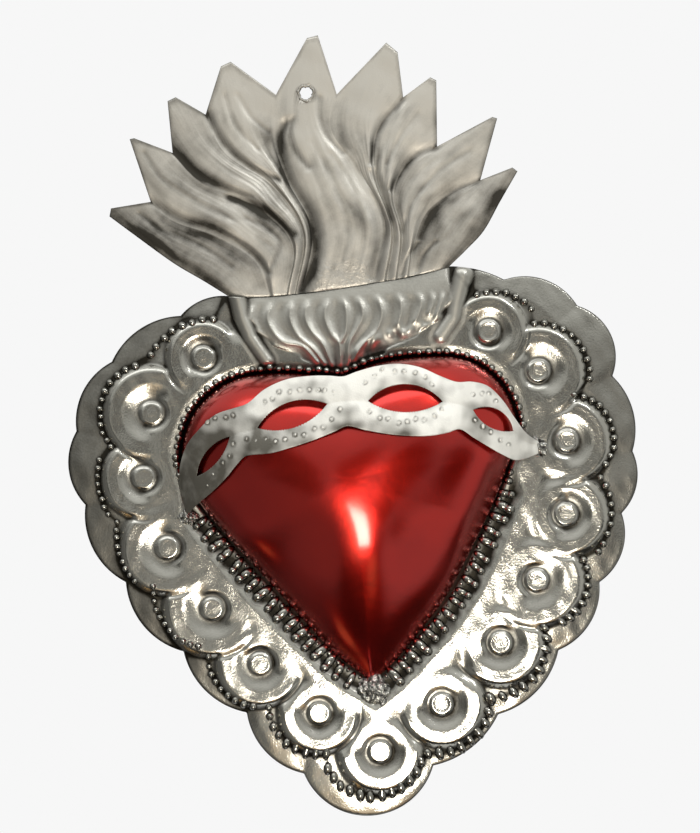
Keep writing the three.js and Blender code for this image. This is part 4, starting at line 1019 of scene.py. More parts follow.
        # The rim follows the sheet, so that no bead shows through its back
        rise = np.maximum(dome[None, :, 1], 0.0)
        sunk = RELIEF.at(px, pz) - self.sink
        height = mix(sunk, base[:, None] + 0.1, rise) + rise * (radius * 1.05)[:, None]
        points = np.stack([px, height, pz], axis=-1).reshape(-1, 3)
        shift = (np.arange(len(beads)) * len(dome))[:, None, None]
        every = [(f[None, :, :] + shift).reshape(-1, f.shape[1]) for f in faces]
        # Painted shade and antiquing: each bead is darkest at its foot and lighter towards its top
        dark = np.clip(1.05 - 0.75 * dome[:, 1], 0.3, 1)
        body.add(points, every, patina=np.tile(dark, len(beads)), polish=1.0)
        body.build(material, Slot.PLAQUE, "embossed_plaque")
        LOG.info("beads: %d", len(beads))


@dataclass
class Crest:
    """The nine flames above the collar."""

    columns_per_flame: int = 30
    rows: int = 118
    steps: int = 80
    # Share of a flame's width over which its free edge falls
    tongue_drop: float = 0.24

    def __post_init__(self) -> None:
        """Works out the grooves and the waves of the strands."""
        self.folds = [spline_through(fold, self.steps) for fold in FOLDS]
        self.grooves = [(spline_through(line, 30), *rest) for line, *rest in CREST_GROOVES]
        self.waves = Waves(21, 11.0)
        self.strand_waves = Waves(22, 14.0)

    def groove_depth(self, x: Numbers, z: Numbers) -> tuple[np.ndarray, np.ndarray]:
        """Depth of the drawn grooves and the darkness of the patina in them."""
        depth, dark = np.zeros(np.shape(x)), np.zeros(np.shape(x))
        for line, half_width, deep, stain in self.grooves:
            near = bell(distance_to_line(x, z, line), half_width)
            depth = np.maximum(depth, deep * near)
            dark = np.maximum(dark, stain * near)
        return depth, dark

    @staticmethod
    def tip_middle(flame: int) -> float:
        """Share across the flame where its clipped tip lies."""
        if flame == 0:
            return TIP_SHARE
        if flame == len(FLAME_TIPS) - 1:
            return 1 - TIP_SHARE
        return 0.5

    def shares(self, flame: int) -> np.ndarray:
        """Shares across a flame for its columns; both corners of the clipped tip get a column."""
        middle = self.tip_middle(flame)
        knots = np.unique([0.0, max(middle - TIP_SHARE, 0), min(middle + TIP_SHARE, 1), 1.0])
        spans = np.diff(knots)
        counts = np.maximum((spans / spans.sum() * self.columns_per_flame).round().astype(int), 2)
        counts[spans.argmax()] += self.columns_per_flame - counts.sum()
        parts = [np.linspace(a, b, n, endpoint=False) for a, b, n in zip(knots[:-1], knots[1:], counts)]
        return np.concatenate(parts)

    def points(self, flame: int, across: Numbers, rise: Numbers) -> tuple[np.ndarray, np.ndarray]:
        """Plane points in one flame: its two folds are mixed, and towards the top the line leaves
        the chord between the notches for the flame's own clipped tip."""
        along = np.linspace(0, 1, self.steps + 1)
        held = np.clip(rise, 0, 1)
        low = [np.interp(held, along, self.folds[flame][:, k]) for k in range(2)]
        high = [np.interp(held, along, self.folds[flame + 1][:, k]) for k in range(2)]
        start, end = self.folds[flame][-1], self.folds[flame + 1][-1]
        middle = self.tip_middle(flame)
        knots = [0.0, middle - TIP_SHARE, middle + TIP_SHARE, 1.0]
        corners = np.array([start, *FLAME_TIPS[flame], end])
        lift = np.clip((held - 0.4) / 0.6, 0, 1) ** 1.5
        out = []
        for k in range(2):
            top = np.interp(across, knots, corners[:, k])
            chord = mix(start[k], end[k], across)
            out.append(mix(low[k], high[k], across) + lift * (top - chord))
        return out[0], out[1]

    @staticmethod
    def strand_count(flame: int) -> float:
        """Number of broad strands across a flame."""
        return 4.0 if flame == MIDDLE_FLAME else 3.0

    def strand_wave(self, flame: int, across: Numbers, x: Numbers, z: Numbers) -> np.ndarray:
        """Wave across the strands of a flame, 1 on each and -1 between them."""
        turn = 2 * math.pi * self.strand_count(flame) * across
        return np.cos(turn + 0.9 * self.strand_waves.at(x, z))

    def relief(self, flame: int, across: Numbers, rise: Numbers, x: Numbers, z: Numbers) -> np.ndarray:
        """Height of the front of a flame.

        The middle flame lies on top. Every other flame tucks under the one nearer the middle:
        it is low at that fold, rises to its own outer edge and drops there in a short step.
        Strands run along each flame.
        """
        swell = np.sin(math.pi * np.clip(rise * 0.9 + 0.08, 0, 1)) ** 0.6 * (1 - 0.72 * rise)
        drop = self.tongue_drop
        if flame == MIDDLE_FLAME:
            edge = smooth(across / drop) * smooth((1 - across) / drop)
            tongue = edge * (0.85 + 0.15 * np.cos(2 * math.pi * (across - 0.5)))
        else:
            outer = across if flame < MIDDLE_FLAME else 1 - across
            tongue = smooth(outer / drop) * (1 - smooth((outer - drop) / (1 - drop)) ** 1.2)
        strands = 0.5 + 0.5 * self.strand_wave(flame, across, x, z)
        fine_count = self.strand_count(flame) * 2.6
        fine = np.cos(2 * math.pi * fine_count * across + 1.7 * self.strand_waves.at(z, x))
        spread = 1.0 if flame == MIDDLE_FLAME else smooth((rise - 0.08) / 0.4)
        strength = (0.55 + 0.45 * self.waves.at(z + 40, x)) * spread
        fine = fine * spread
        height = SHEET + 0.65 + 0.35 * (1 - rise)
        height = height + swell * (1.25 * tongue + 0.16 * strands * strength + 0.04 * fine)
        return height - self.groove_depth(x, z)[0] + 0.06 * self.waves.at(x, z) * (1 - 0.6 * rise)

    @staticmethod
    def hammered(x: Numbers, z: Numbers) -> np.ndarray:
        """How strongly the foot of the middle flame glitters with small dents."""
        return smooth((-46.5 - z) / 5.0) * smooth((11.0 - np.abs(x - 6.5)) / 4.0)

    def patina(self, flame: int, across: Numbers, rise: Numbers, x: Numbers, z: Numbers) -> np.ndarray:
        """Darkness of the crest: antiquing in the grooves, along the sheet's outline and in old blotches;
        painted shade in the fold where a flame tucks under its neighbour; darker between the strands and
        towards the sides and foot.
        """
        outer = across if flame < MIDDLE_FLAME else 1 - across
        # Painted shade in the fold where the flame tucks under the one nearer the middle
        deep = 0.0 if flame == MIDDLE_FLAME else 0.36 * bell(1 - outer, 0.30)
        fade = smooth((1.02 - rise) / 0.35) * smooth(rise / 0.08)
        strands = 0.5 - 0.5 * self.strand_wave(flame, across, x, z)
        patch = 0.5 + 0.5 * self.waves.at(z + 40, x)
        if flame != MIDDLE_FLAME:
            patch = patch * smooth((rise - 0.08) / 0.4)
        rim = 0.5 * smooth((rise - 0.955) / 0.045)
        rim = np.maximum(rim, 0.6 * bell(np.hypot(x, z) - 2.6, 0.7))
        if flame == 0:
            rim = np.maximum(rim, 0.52 * bell(across, 0.36))
        if flame == 2:
            rim = np.maximum(rim, 0.8 * bell(across, 0.22) * smooth((rise - 0.55) / 0.3))
        if flame == len(FLAME_TIPS) - 1:
            rim = np.maximum(rim, 0.45 * bell(1 - across, 0.25))
        # Darker towards the left, the right and the foot, lighter near the top
        sides = 0.26 * smooth((-12.0 - x) / 30.0) + 0.16 * smooth((x - 26.0) / 16.0)
        sides = sides + 0.20 * smooth((-24.0 - z) / 14.0) - 0.16 * smooth((z + 12.0) / 14.0)
        blotch = 0.07 * Waves(31, 13.0).at(x, z) + 0.03 * Waves(32, 4.0).at(x, z)
        groove = self.groove_depth(x, z)[1]
        return np.clip(fade * (deep + 0.30 * strands * patch) + groove + rim + sides + blotch, -0.2, 1.2)

    def build(self, material: bpy.types.Material) -> None:
        """Sheet of the crest with the nail hole cut through it."""
        rise = np.concatenate([[-0.02], np.linspace(0, 1, self.rows - 1)])
        grids = []
        flames = len(FLAME_TIPS)
        for flame in range(flames):
            shares = self.shares(flame)
            if flame == flames - 1:
                shares = np.append(shares, 1.0)
            across, up = np.meshgrid(shares, rise)
            x, z = self.points(flame, across, up)
            z = np.where(up < 0, z - 1.4, z)
            height = self.relief(flame, across, np.clip(up, 0, 1), x, z)
            height = np.where(up < 0, 1.0, height)
            patina = self.patina(flame, across, np.clip(up, 0, 1), x, z)
            grids.append((x, height, z, patina, flame + across, up))
        x, height, z, patina, strand, up = (np.hstack([g[k] for g in grids]) for k in range(6))
        rows, columns = x.shape
        quads = grid_faces(rows, columns, False)
        points = np.stack([x, height, z], axis=-1).reshape(-1, 3)
        away = np.hypot(points[:, 0], points[:, 2])
        quads = quads[(away[quads] > 0.82 * NAIL_HOLE_RADIUS).all(axis=1)]
        rim = np.unique(open_edges(quads))
        rim = rim[away[rim] < 2.0 * NAIL_HOLE_RADIUS]
        turn = np.arctan2(points[rim, 2], points[rim, 0])
        ragged = NAIL_HOLE_RADIUS + 0.10 * np.sin(5 * turn + 1) + 0.06 * np.sin(9 * turn)
        points[rim, 0] = ragged * np.cos(turn)
        points[rim, 2] = ragged * np.sin(turn)
        back = points - (0.0, SHEET, 0.0)
        back[:, 1] = np.maximum(back[:, 1], 0.0)
        vertices, faces = thick_sheet(points, back, quads)
        used, faces = used_only(vertices, faces)
        body = Body("flame_crest")
        both = np.concatenate([patina.ravel(), np.full(x.size, 0.2)])
        lines = np.column_stack([np.tile(strand.ravel(), 2), np.tile(up.ravel(), 2), np.zeros(2 * x.size)])
        body.add(
            vertices[used], faces, patina=both[used], strand_offset=lines[used],
            hammer=self.hammered(vertices[used, 0], vertices[used, 2]),
        )
        body.build(material, Slot.PLAQUE, "embossed_plaque")


@dataclass
class NailBurr:
    """Ragged dark lip that the punch left round the nail hole."""

    segments: int = 72
    round: int = 10

    def build(self, material: bpy.types.Material) -> None:
        """Uneven ring that stands a little proud of the crest."""
        body = Body("nail_hole_lip")
        turn, tube = full_turn(self.segments), full_turn(self.round)
        torn = 0.16 * np.sin(3 * turn + 0.5) + 0.13 * np.sin(7 * turn) + 0.08 * np.sin(13 * turn + 2)
        middle = NAIL_HOLE_RADIUS + 0.30 + 0.7 * torn
        thick = 0.36 + 0.5 * np.abs(torn)
        away = middle[None, :] + thick[None, :] * np.cos(tube)[:, None]
        height = 1.35 + 0.5 * torn[None, :] + 0.42 * np.sin(tube)[:, None]
        points = np.stack([away * np.cos(turn), height, away * np.sin(turn)], axis=-1).reshape(-1, 3)
        quads = grid_faces(self.round, self.segments, True)
        quads = np.vstack([quads, ring_bridge((self.round - 1) * self.segments, 0, self.segments)])
        dark = np.repeat(0.85 - 0.5 * np.sin(tube), self.segments)
        body.add(points, [quads], patina=dark)
        body.build(material, Slot.PLAQUE, "embossed_plaque")


def shell_height(x: Numbers, z: Numbers) -> np.ndarray:
    """Height of the red shell over its seat: a pillow in rays from its middle.

    With the share of the way to the edge s, the height is the depth times one less s to the
    power of flatness, all to the power of fall. Down towards the tip the power of fall is larger,
    so that the surface runs out like a cone. Well inside, the share is taken to a rounder outline
    than the real one, so that no fold runs in from the tip or the cleft, but for the soft keel
    from the middle down to the tip.
    """
    angle = SHELL_RAYS.angle(x, z)
    away = SHELL_RAYS.away(x, z)
    reach = SHELL_RAYS.at(angle)
    edgeward = np.clip(away / reach, 0, 1) ** 3
    share = np.clip(away / (reach**edgeward * ROUND_REACH.at(angle) ** (1 - edgeward)), 0, 1)
    downward = smooth((-np.sin(angle) - 0.35) / 0.6)
    upward = smooth((np.sin(angle) - 0.1) / 0.8)
    flatness = 2.1 + 0.25 * downward + 0.9 * upward
    fall = 0.5 + 0.3 * downward - 0.02 * upward
    pillow = SHELL_DEPTH * (1 - share**flatness) ** fall
    flat = KEEL_FLAT * (0.35 + 0.65 * smooth((z + 148.0) / 26.0))
    aside = np.abs(x - np.interp(z, KEEL_Z, KEEL_X))
    beside = np.hypot(np.maximum(aside - flat, 0.0), KEEL_ROUND) - KEEL_ROUND
    keel = KEEL_SLOPE * beside * smooth((SHELL_CENTRE[1] + 8.0 - z) / 30.0)
    return np.maximum(pillow - keel * smooth((1 - share) / 0.75), 0.3 * pillow)


@dataclass
class HeartShell:
    """The raised heart, with the bent facet down its right side."""

    columns: int = 640
    rows: int = 100
    inner_rows: int = 50
    facet: tuple = (
        (52.0, -104.0), (50.8, -111.5), (46.4, -121.0), (40.6, -131.6), (30.6, -148.0), (22.0, -157.8),
    )
    facet_start: float = 1.8
    facet_rise: float = 1.55
    facet_ease: float = 0.35

    def height(self, x: Numbers, z: Numbers) -> np.ndarray:
        """Shell with a flat facet planed off along the right side."""
        pillow = shell_height(x, z)
        inward = distance_to_line(x, z, self.facet)
        right = smooth((x - 18.0) / 8.0) * smooth((-104.0 - z) / 10.0)
        plane = self.facet_start + self.facet_rise * inward
        over = np.clip((pillow - plane) / self.facet_ease, -30, 30)
        planed = pillow - self.facet_ease * np.log1p(np.exp(over))
        dents = 0.14 * Waves(41, 30.0).at(x, z) * smooth(pillow / 8.0)
        return mix(pillow, np.minimum(planed, pillow), right) + dents

    def surface(self, rows: int, inside: bool) -> np.ndarray:
        """Rings of points from the middle out to the seat, on the outer or the inner surface."""
        angles = full_turn(self.columns, -math.pi)
        share = np.sin(np.linspace(0.02, 1, rows) * math.pi / 2)[:, None]
        reach = share * SHELL_RAYS.at(angles)[None, :]
        x, z = on_rays(SHELL_CENTRE, reach, angles)
        rise = np.where(share < 1, self.height(x, z), 0.0)
        if inside:
            x, z = on_rays(SHELL_CENTRE, np.maximum(reach - SHEET * np.sqrt(share), 0.1), angles)
            rise = np.where(share < 1, np.maximum(rise - SHEET, 0.02), 0.0)
        return np.stack([x, SHELL_SEAT + rise, z], axis=-1).reshape(-1, 3)

    def build(self, material: bpy.types.Material) -> None:
        """Outer and inner surface joined at the seat."""
        body = Body("red_heart")
        front = body.add(self.surface(self.rows, False), [grid_faces(self.rows, self.columns, True)])
        inner_faces = grid_faces(self.inner_rows, self.columns, True)[:, ::-1]
        back = body.add(self.surface(self.inner_rows, True), [inner_faces])
        x, z = SHELL_CENTRE
        top = SHELL_SEAT + float(self.height(np.array(x), np.array(z)))
        middle = body.add(np.array([[x, top, z], [x, top - SHEET, z]]), [])
        rim_front = front + (self.rows - 1) * self.columns
        rim_back = back + (self.inner_rows - 1) * self.columns
        body.faces += [
            fan(front, self.columns, middle),
            fan(back, self.columns, middle + 1)[:, ::-1],
            ring_bridge(rim_front, rim_back, self.columns)[:, ::-1],
        ]
        body.build(material, Slot.LACQUER, "heart_shell")


@dataclass
class ThornBand:
    """Pale band of two strands that cross and leave four lens-shaped openings."""

    rows_per_strand: int = 22
    over_frame: float = 0.6
    crown: float = 0.28

    def __post_init__(self) -> None:
        """Works out the band's edges, its stand-off and its dots."""
        self.dots = self.dot_places()
        coarse_top, coarse_bottom = self.edges(BAND_STEPS)
        rises = self.taut(coarse_top, coarse_bottom)
        steps = BAND_STEPS * BAND_FINENESS
        self.tops, self.bottoms = self.edges(steps)
        self.rises = np.interp(np.linspace(0, 1, steps + 1), np.linspace(0, 1, BAND_STEPS + 1), rises)

    @staticmethod
    def edges(steps: int) -> tuple[np.ndarray, np.ndarray]:
        """Top and bottom edge of the band as plane points."""
        tops = spline_through([s[0] for s in BAND_STATIONS], steps)
        bottoms = spline_through([s[1] for s in BAND_STATIONS], steps)
        return tops, bottoms

    @staticmethod
    def lean(tops: Numbers, bottoms: Numbers, share: Numbers) -> np.ndarray:
        """How far the band leans back at a share of the way from its top edge to its bottom one."""
        return BAND_LEAN * np.hypot(*(bottoms - tops).T) * (1 - share)

    def taut(self, tops: Numbers, bottoms: Numbers) -> np.ndarray:
        """Height of the back of the band along its bottom edge, pulled straight between rests."""
        wanted = []
        for share in (0, 0.25, 0.5, 0.75, 1):
            x, z = mix(tops, bottoms, share).T
            drawn_x = mix(x, SHELL_CENTRE[0], BAND_DRAW_IN)
            drawn_z = mix(z, SHELL_CENTRE[1], BAND_DRAW_IN)
            on_shell = SHELL_SEAT + shell_height(drawn_x, drawn_z) + BAND_STAND_OFF
            on_frame = RELIEF.at(x, z) + self.over_frame
            wanted.append(np.maximum(on_shell, on_frame) + self.lean(tops, bottoms, share))
        rises = np.max(wanted, axis=0)
        for _ in range(TAUT_PASSES):
            straight = (rises[:-2] + rises[2:]) / 2
            rises[1:-1] = np.maximum(rises[1:-1], straight)
        return rises

    def openings(self) -> tuple[np.ndarray, np.ndarray]:
        """Shares down each station where the opening begins and ends; equal where there is none."""
        count = len(self.tops)
        begin = np.full(count, np.nan)
        end = np.full(count, np.nan)
        for lens in LENSES:
            outline = lens_outline(lens, 60)
            ahead = np.roll(outline, -1, axis=0)
            for i in range(count):
                hits = crossings(self.tops[i], self.bottoms[i], outline, ahead)
                if len(hits) >= 2:
                    begin[i], end[i] = hits.min(), hits.max()
        middle = (begin + end) / 2
        known = ~np.isnan(middle)
        places = np.arange(count)
        between = np.interp(places, places[known], middle[known])
        notch = 0.009 * np.sin(places * 2.9) * smooth((end - begin) / 0.2)
        begin = np.where(known, begin + notch, between)
        end = np.where(known, end - notch, between)
        return begin, end

    def surface(self, station: np.ndarray, share: np.ndarray) -> np.ndarray:
        """Points on the back of the band as x, height, z."""
        every = np.arange(len(self.tops))
        tops, bottoms = (
            np.column_stack([np.interp(station, every, edge[:, k]) for k in range(2)])
            for edge in (self.tops, self.bottoms)
        )
        rise = np.interp(station, every, self.rises)
        point = mix(tops, bottoms, share[:, None])
        return np.column_stack([point[:, 0], rise - self.lean(tops, bottoms, share), point[:, 1]])

    def station_of(self, x: float, z: float) -> tuple[float, float]:
        """Station and share of a plane point on the band."""
        best = (np.inf, 0.0, 0.0)
        for i, (a, b) in enumerate(zip(self.tops, self.bottoms)):
            span = b - a
            share = float(np.clip(((x - a[0]) * span[0] + (z - a[1]) * span[1]) / (span @ span), 0, 1))
            away = float(np.hypot(*(a + share * span - (x, z))))
            if away < best[0]:
                best = (away, float(i), share)
        return best[1], best[2]

    def build(self, material: bpy.types.Material) -> None:
        """Two strips of strand that share their vertices wherever there is no opening."""
        begin, end = self.openings()
        stations = np.arange(len(self.tops), dtype=float)
        rows = self.rows_per_strand
        down = np.linspace(0, 1, rows)
        shares = np.vstack([
            np.outer(down, begin), mix(end[None, :], 1.0, down[:, None]),
        ])
        count = len(stations)
        place = np.tile(stations, 2 * rows)
        back = self.surface(place, shares.ravel())
        width = np.concatenate([down, down])
        swell = self.crown * (1 - (2 * width - 1) ** 2)
        back[:, 1] += np.repeat(swell, count)
        front = back + (0.0, SHEET, 0.0)
        upper = grid_faces(rows, count, False)
        quads = np.vstack([upper, upper + rows * count])
        same = end - begin < 1e-6
        index = np.arange(2 * rows * count)
        joined = np.where(same)[0]
        index[rows * count + joined] = (rows - 1) * count + joined
        quads = index[quads]
        vertices, faces = thick_sheet(front, back, quads)
        x, z = vertices[:, 0], vertices[:, 2]
        wear_and_shade = 0.05 + 0.20 * Waves(52, 13.0).at(x, z) + 0.10 * Waves(51, 5.0).at(x, z)
        near_opening = np.min([distance_to_line(x, z, lens_outline(lens, 40)) for lens in LENSES], axis=0)
        lower = np.interp(x, self.bottoms[:, 0], self.bottoms[:, 1])
        # Darker round the openings; painted shade over the band's left end
        wear_and_shade = wear_and_shade + 0.35 * bell(near_opening, 1.6) + 0.75 * smooth((-17.0 - x) / 17.0)
        # Painted shade along the lower edge, left of the middle
        wear_and_shade = wear_and_shade + 0.55 * smooth((lower + 7.0 - z) / 5.0) * (1 - smooth((x - 14.0) / 24.0))
        corners = np.array([corner for lens in LENSES for corner in lens[:2]])
        near_corner = distances(x, z, corners).min(axis=1)
        # Painted shade where the strands cross, heavier to the left
        wear_and_shade = wear_and_shade + (0.16 + 0.3 * smooth((-5.0 - x) / 15.0)) * bell(near_corner, 3.0)
        near_dot = distances(x, z, self.dots).min(axis=1)
        # Painted light: the middle of the band is made lighter
        wear_and_shade = wear_and_shade - 0.2 * bell(np.hypot(x - 6.0, z + 90.0), 9.0)
        # Painted shade in a ring round each dot, and over the dots at the left end
        ring = 0.5 * bell(near_dot - 0.62, 0.26) * (1 + 0.6 * Waves(53, 2.0).at(x, z))
        ring = ring + 0.5 * smooth((-14.0 - x) / 8.0) * bell(near_dot, 0.7)
        shade = np.clip(wear_and_shade + ring, 0, 1)
        used, faces = used_only(vertices, faces)
        body = Body("thorn_band_sheet")
        body.add(vertices[used], faces, shade=shade[used])
        body.build(material, Slot.BAND, "thorn_band")
        self.build_dots(material)

    @staticmethod
    def dot_places() -> np.ndarray:
        """Places of the punched dots on the plane."""
        chance = np.random.default_rng(9)
        rows = [arc_through(first, middle, last, number) for first, middle, last, number in DOT_ROWS]
        places = np.vstack(rows)
        return places + chance.normal(0, 0.36, places.shape)

    def build_dots(self, material: bpy.types.Material) -> None:
        """Punched dots along the strands, as low domes."""
        chance = np.random.default_rng(10)
        dome, faces = Beads().dome()
        body = Body("band_dots")
        for x, z in self.dots:
            station, share = self.station_of(x, z)
            seat = self.surface(np.array([station]), np.array([share]))[0]
            radius = chance.uniform(0.36, 0.64)
            turn, stretch = chance.uniform(0, math.pi), chance.uniform(1.0, 1.6)
            across, along = dome[:, 0] * radius * stretch, dome[:, 2] * radius
            lift = dome[:, 1] * chance.uniform(0.12, 0.28) + SHEET + 0.16
            points = np.column_stack([
                seat[0] + across * math.cos(turn) - along * math.sin(turn), seat[1] + lift,
                seat[2] + across * math.sin(turn) + along * math.cos(turn),
            ])
            # Painted shade: each dot is darker at its foot, and darker still at the band's left end
            left_end_shade = 0.55 * float(smooth((-14.0 - x) / 8.0))
            body.add(points, faces, shade=np.clip(0.75 - 0.75 * dome[:, 1] + left_end_shade, 0, 1))
        body.build(material, Slot.BAND, "thorn_band")


def crossings(a: Numbers, b: Numbers, outline: np.ndarray, ahead: np.ndarray) -> np.ndarray:
    """Shares along the segment from a to b where it crosses the sides of an outline."""
    span = b - a
    side = ahead - outline
    start = outline - a
    cross = span[0] * side[:, 1] - span[1] * side[:, 0]
    safe = np.where(np.abs(cross) < 1e-12, 1.0, cross)
    along = (start[:, 0] * side[:, 1] - start[:, 1] * side[:, 0]) / safe
    across = (start[:, 0] * span[1] - start[:, 1] * span[0]) / safe
    hit = (np.abs(cross) > 1e-12) & (across >= 0) & (across <= 1) & (along >= 0) & (along <= 1)
    return along[hit]


@dataclass
class SolderLump:
    """One joint of solder: rounded lumps with an uneven, flowed surface."""

    segments: int = 72
    rings: int = 48
    # How far a lump goes into the sheet that it stands on
    sink: float = 0.15

    def build(self, name: str, material: bpy.types.Material) -> None:
        """Body of the joint, standing for its CAD node."""
        body = Body(name + "_flow")
        rise = np.linspace(-math.pi / 2, math.pi / 2, self.rings)[1:-1]
        for number, (at, radii, lean) in enumerate(SOLDER[name]):
            unit = np.vstack([ball_rings(rise, self.segments), [[0, -1, 0], [0, 1, 0]]])
            rough = Waves(61 + number, 0.9).at(unit[:, 0] * 1.3, unit[:, 2] + unit[:, 1])
            fine = Waves(71 + number, 0.35).at(unit[:, 0], unit[:, 2] - unit[:, 1])
            unit = unit * (0.93 + 0.07 * rough + 0.03 * fine)[:, None]
            local = unit * np.array(radii)
            cosine, sine = math.cos(lean), math.sin(lean)
            x = at[0] + local[:, 0] * cosine + local[:, 2] * sine
            z = at[1] - local[:, 0] * sine + local[:, 2] * cosine
            height = np.maximum(SOLDER_SEAT + local[:, 1], RELIEF.at(x, z) - self.sink)
            rings = self.rings - 2
            poles = rings * self.segments
            faces = [
                grid_faces(rings, self.segments, True),
                fan(0, self.segments, poles),
                fan((rings - 1) * self.segments, self.segments, poles + 1)[:, ::-1],
            ]
            body.add(np.column_stack([x, height, z]), faces)
        body.build(material, Slot.SOLDER, name)


# Finishes


def linear(code: str) -> tuple[float, float, float, float]:
    """Linear colour of an sRGB hex code such as A8A59B."""
    parts = [int(code[k:k + 2], 16) / 255 for k in (0, 2, 4)]
    curve = [c / 12.92 if c <= 0.04045 else ((c + 0.055) / 1.055) ** 2.4 for c in parts]
    return (*curve, 1.0)


# The scale of every pattern in the finishes is in features per metre
MATH = "ShaderNodeMath"
MIX = "ShaderNodeMix"
MAP_RANGE = "ShaderNodeMapRange"
NOISE = "ShaderNodeTexNoise"
ATTRIBUTE = "ShaderNodeAttribute"
ADD = {"operation": "ADD"}
SUBTRACT = {"operation": "SUBTRACT"}
MULTIPLY = {"operation": "MULTIPLY"}
EASED = {"interpolation_type": "SMOOTHSTEP"}
BLEND = {"data_type": "RGBA", "blend_type": "MIX", "clamp_factor": True}


def add_node(
    tree: bpy.types.NodeTree, kind: str, settings: dict | None = None, inputs: dict | None = None
) -> bpy.types.Node:
    """Adds a shader node with its settings and links.

    Args:
        tree: node tree.
        kind: node type.
        settings: properties of the node.
        inputs: by input name or number, a value, a socket, or a node for its first output.

    Returns:
        The node.
    """
    node = tree.nodes.new(kind)
    for key, value in (settings or {}).items():
        setattr(node, key, value)
    for key, value in (inputs or {}).items():
        socket = node.inputs[key]
        if isinstance(value, bpy.types.Node):
            value = value.outputs[0]
        if isinstance(value, bpy.types.NodeSocket):
            tree.links.new(value, socket)
        else:
            socket.default_value = value
    return node


def new_material(name: str) -> tuple[bpy.types.Material, bpy.types.NodeTree]:
    """Empty node material.

    Returns:
        Tuple of material and its node tree.
    """
    material = bpy.data.materials.new(name)
    material.use_nodes = True
    material.node_tree.nodes.clear()
    return material, material.node_tree


def close_metal(tree: bpy.types.NodeTree, bumps: dict, metal: dict) -> None:
    """Closes a finish with the bumps in its skin, the metal itself and the output.

    Args:
        tree: node tree of the material.
        bumps: inputs of the bumps.
        metal: inputs of the metal.
    """
    skin = add_node(tree, "ShaderNodeBump", {}, bumps)
    surface = add_node(tree, "ShaderNodeBsdfPrincipled", {}, {**metal, "Normal": skin})
    add_node(tree, "ShaderNodeOutputMaterial", {}, {"Surface": surface})


def stain_and_shade(tree: bpy.types.NodeTree, place: bpy.types.NodeSocket, patterns: tuple) -> bpy.types.Node:
    """Antiquing and painted shade of the mesh, with patterns over it.

    Args:
        tree: node tree of the material.
        place: coordinates of the object.
        patterns: for each, its scale and detail, the range taken of it, and what that becomes.

    Returns:
        Node of the sum.
    """
    dark = add_node(tree, ATTRIBUTE, {"attribute_name": "patina"}).outputs["Fac"]
    for scale, detail, low, high, least, most in patterns:
        look = {"Vector": place, "Scale": scale, "Detail": detail, "Roughness": 0.55}
        limits = {1: low, 2: high, 3: least, 4: most}
        pattern = add_node(tree, MAP_RANGE, {}, {0: add_node(tree, NOISE, {}, look), **limits})
        dark = add_node(tree, MATH, ADD, {0: dark, 1: pattern})
    return dark


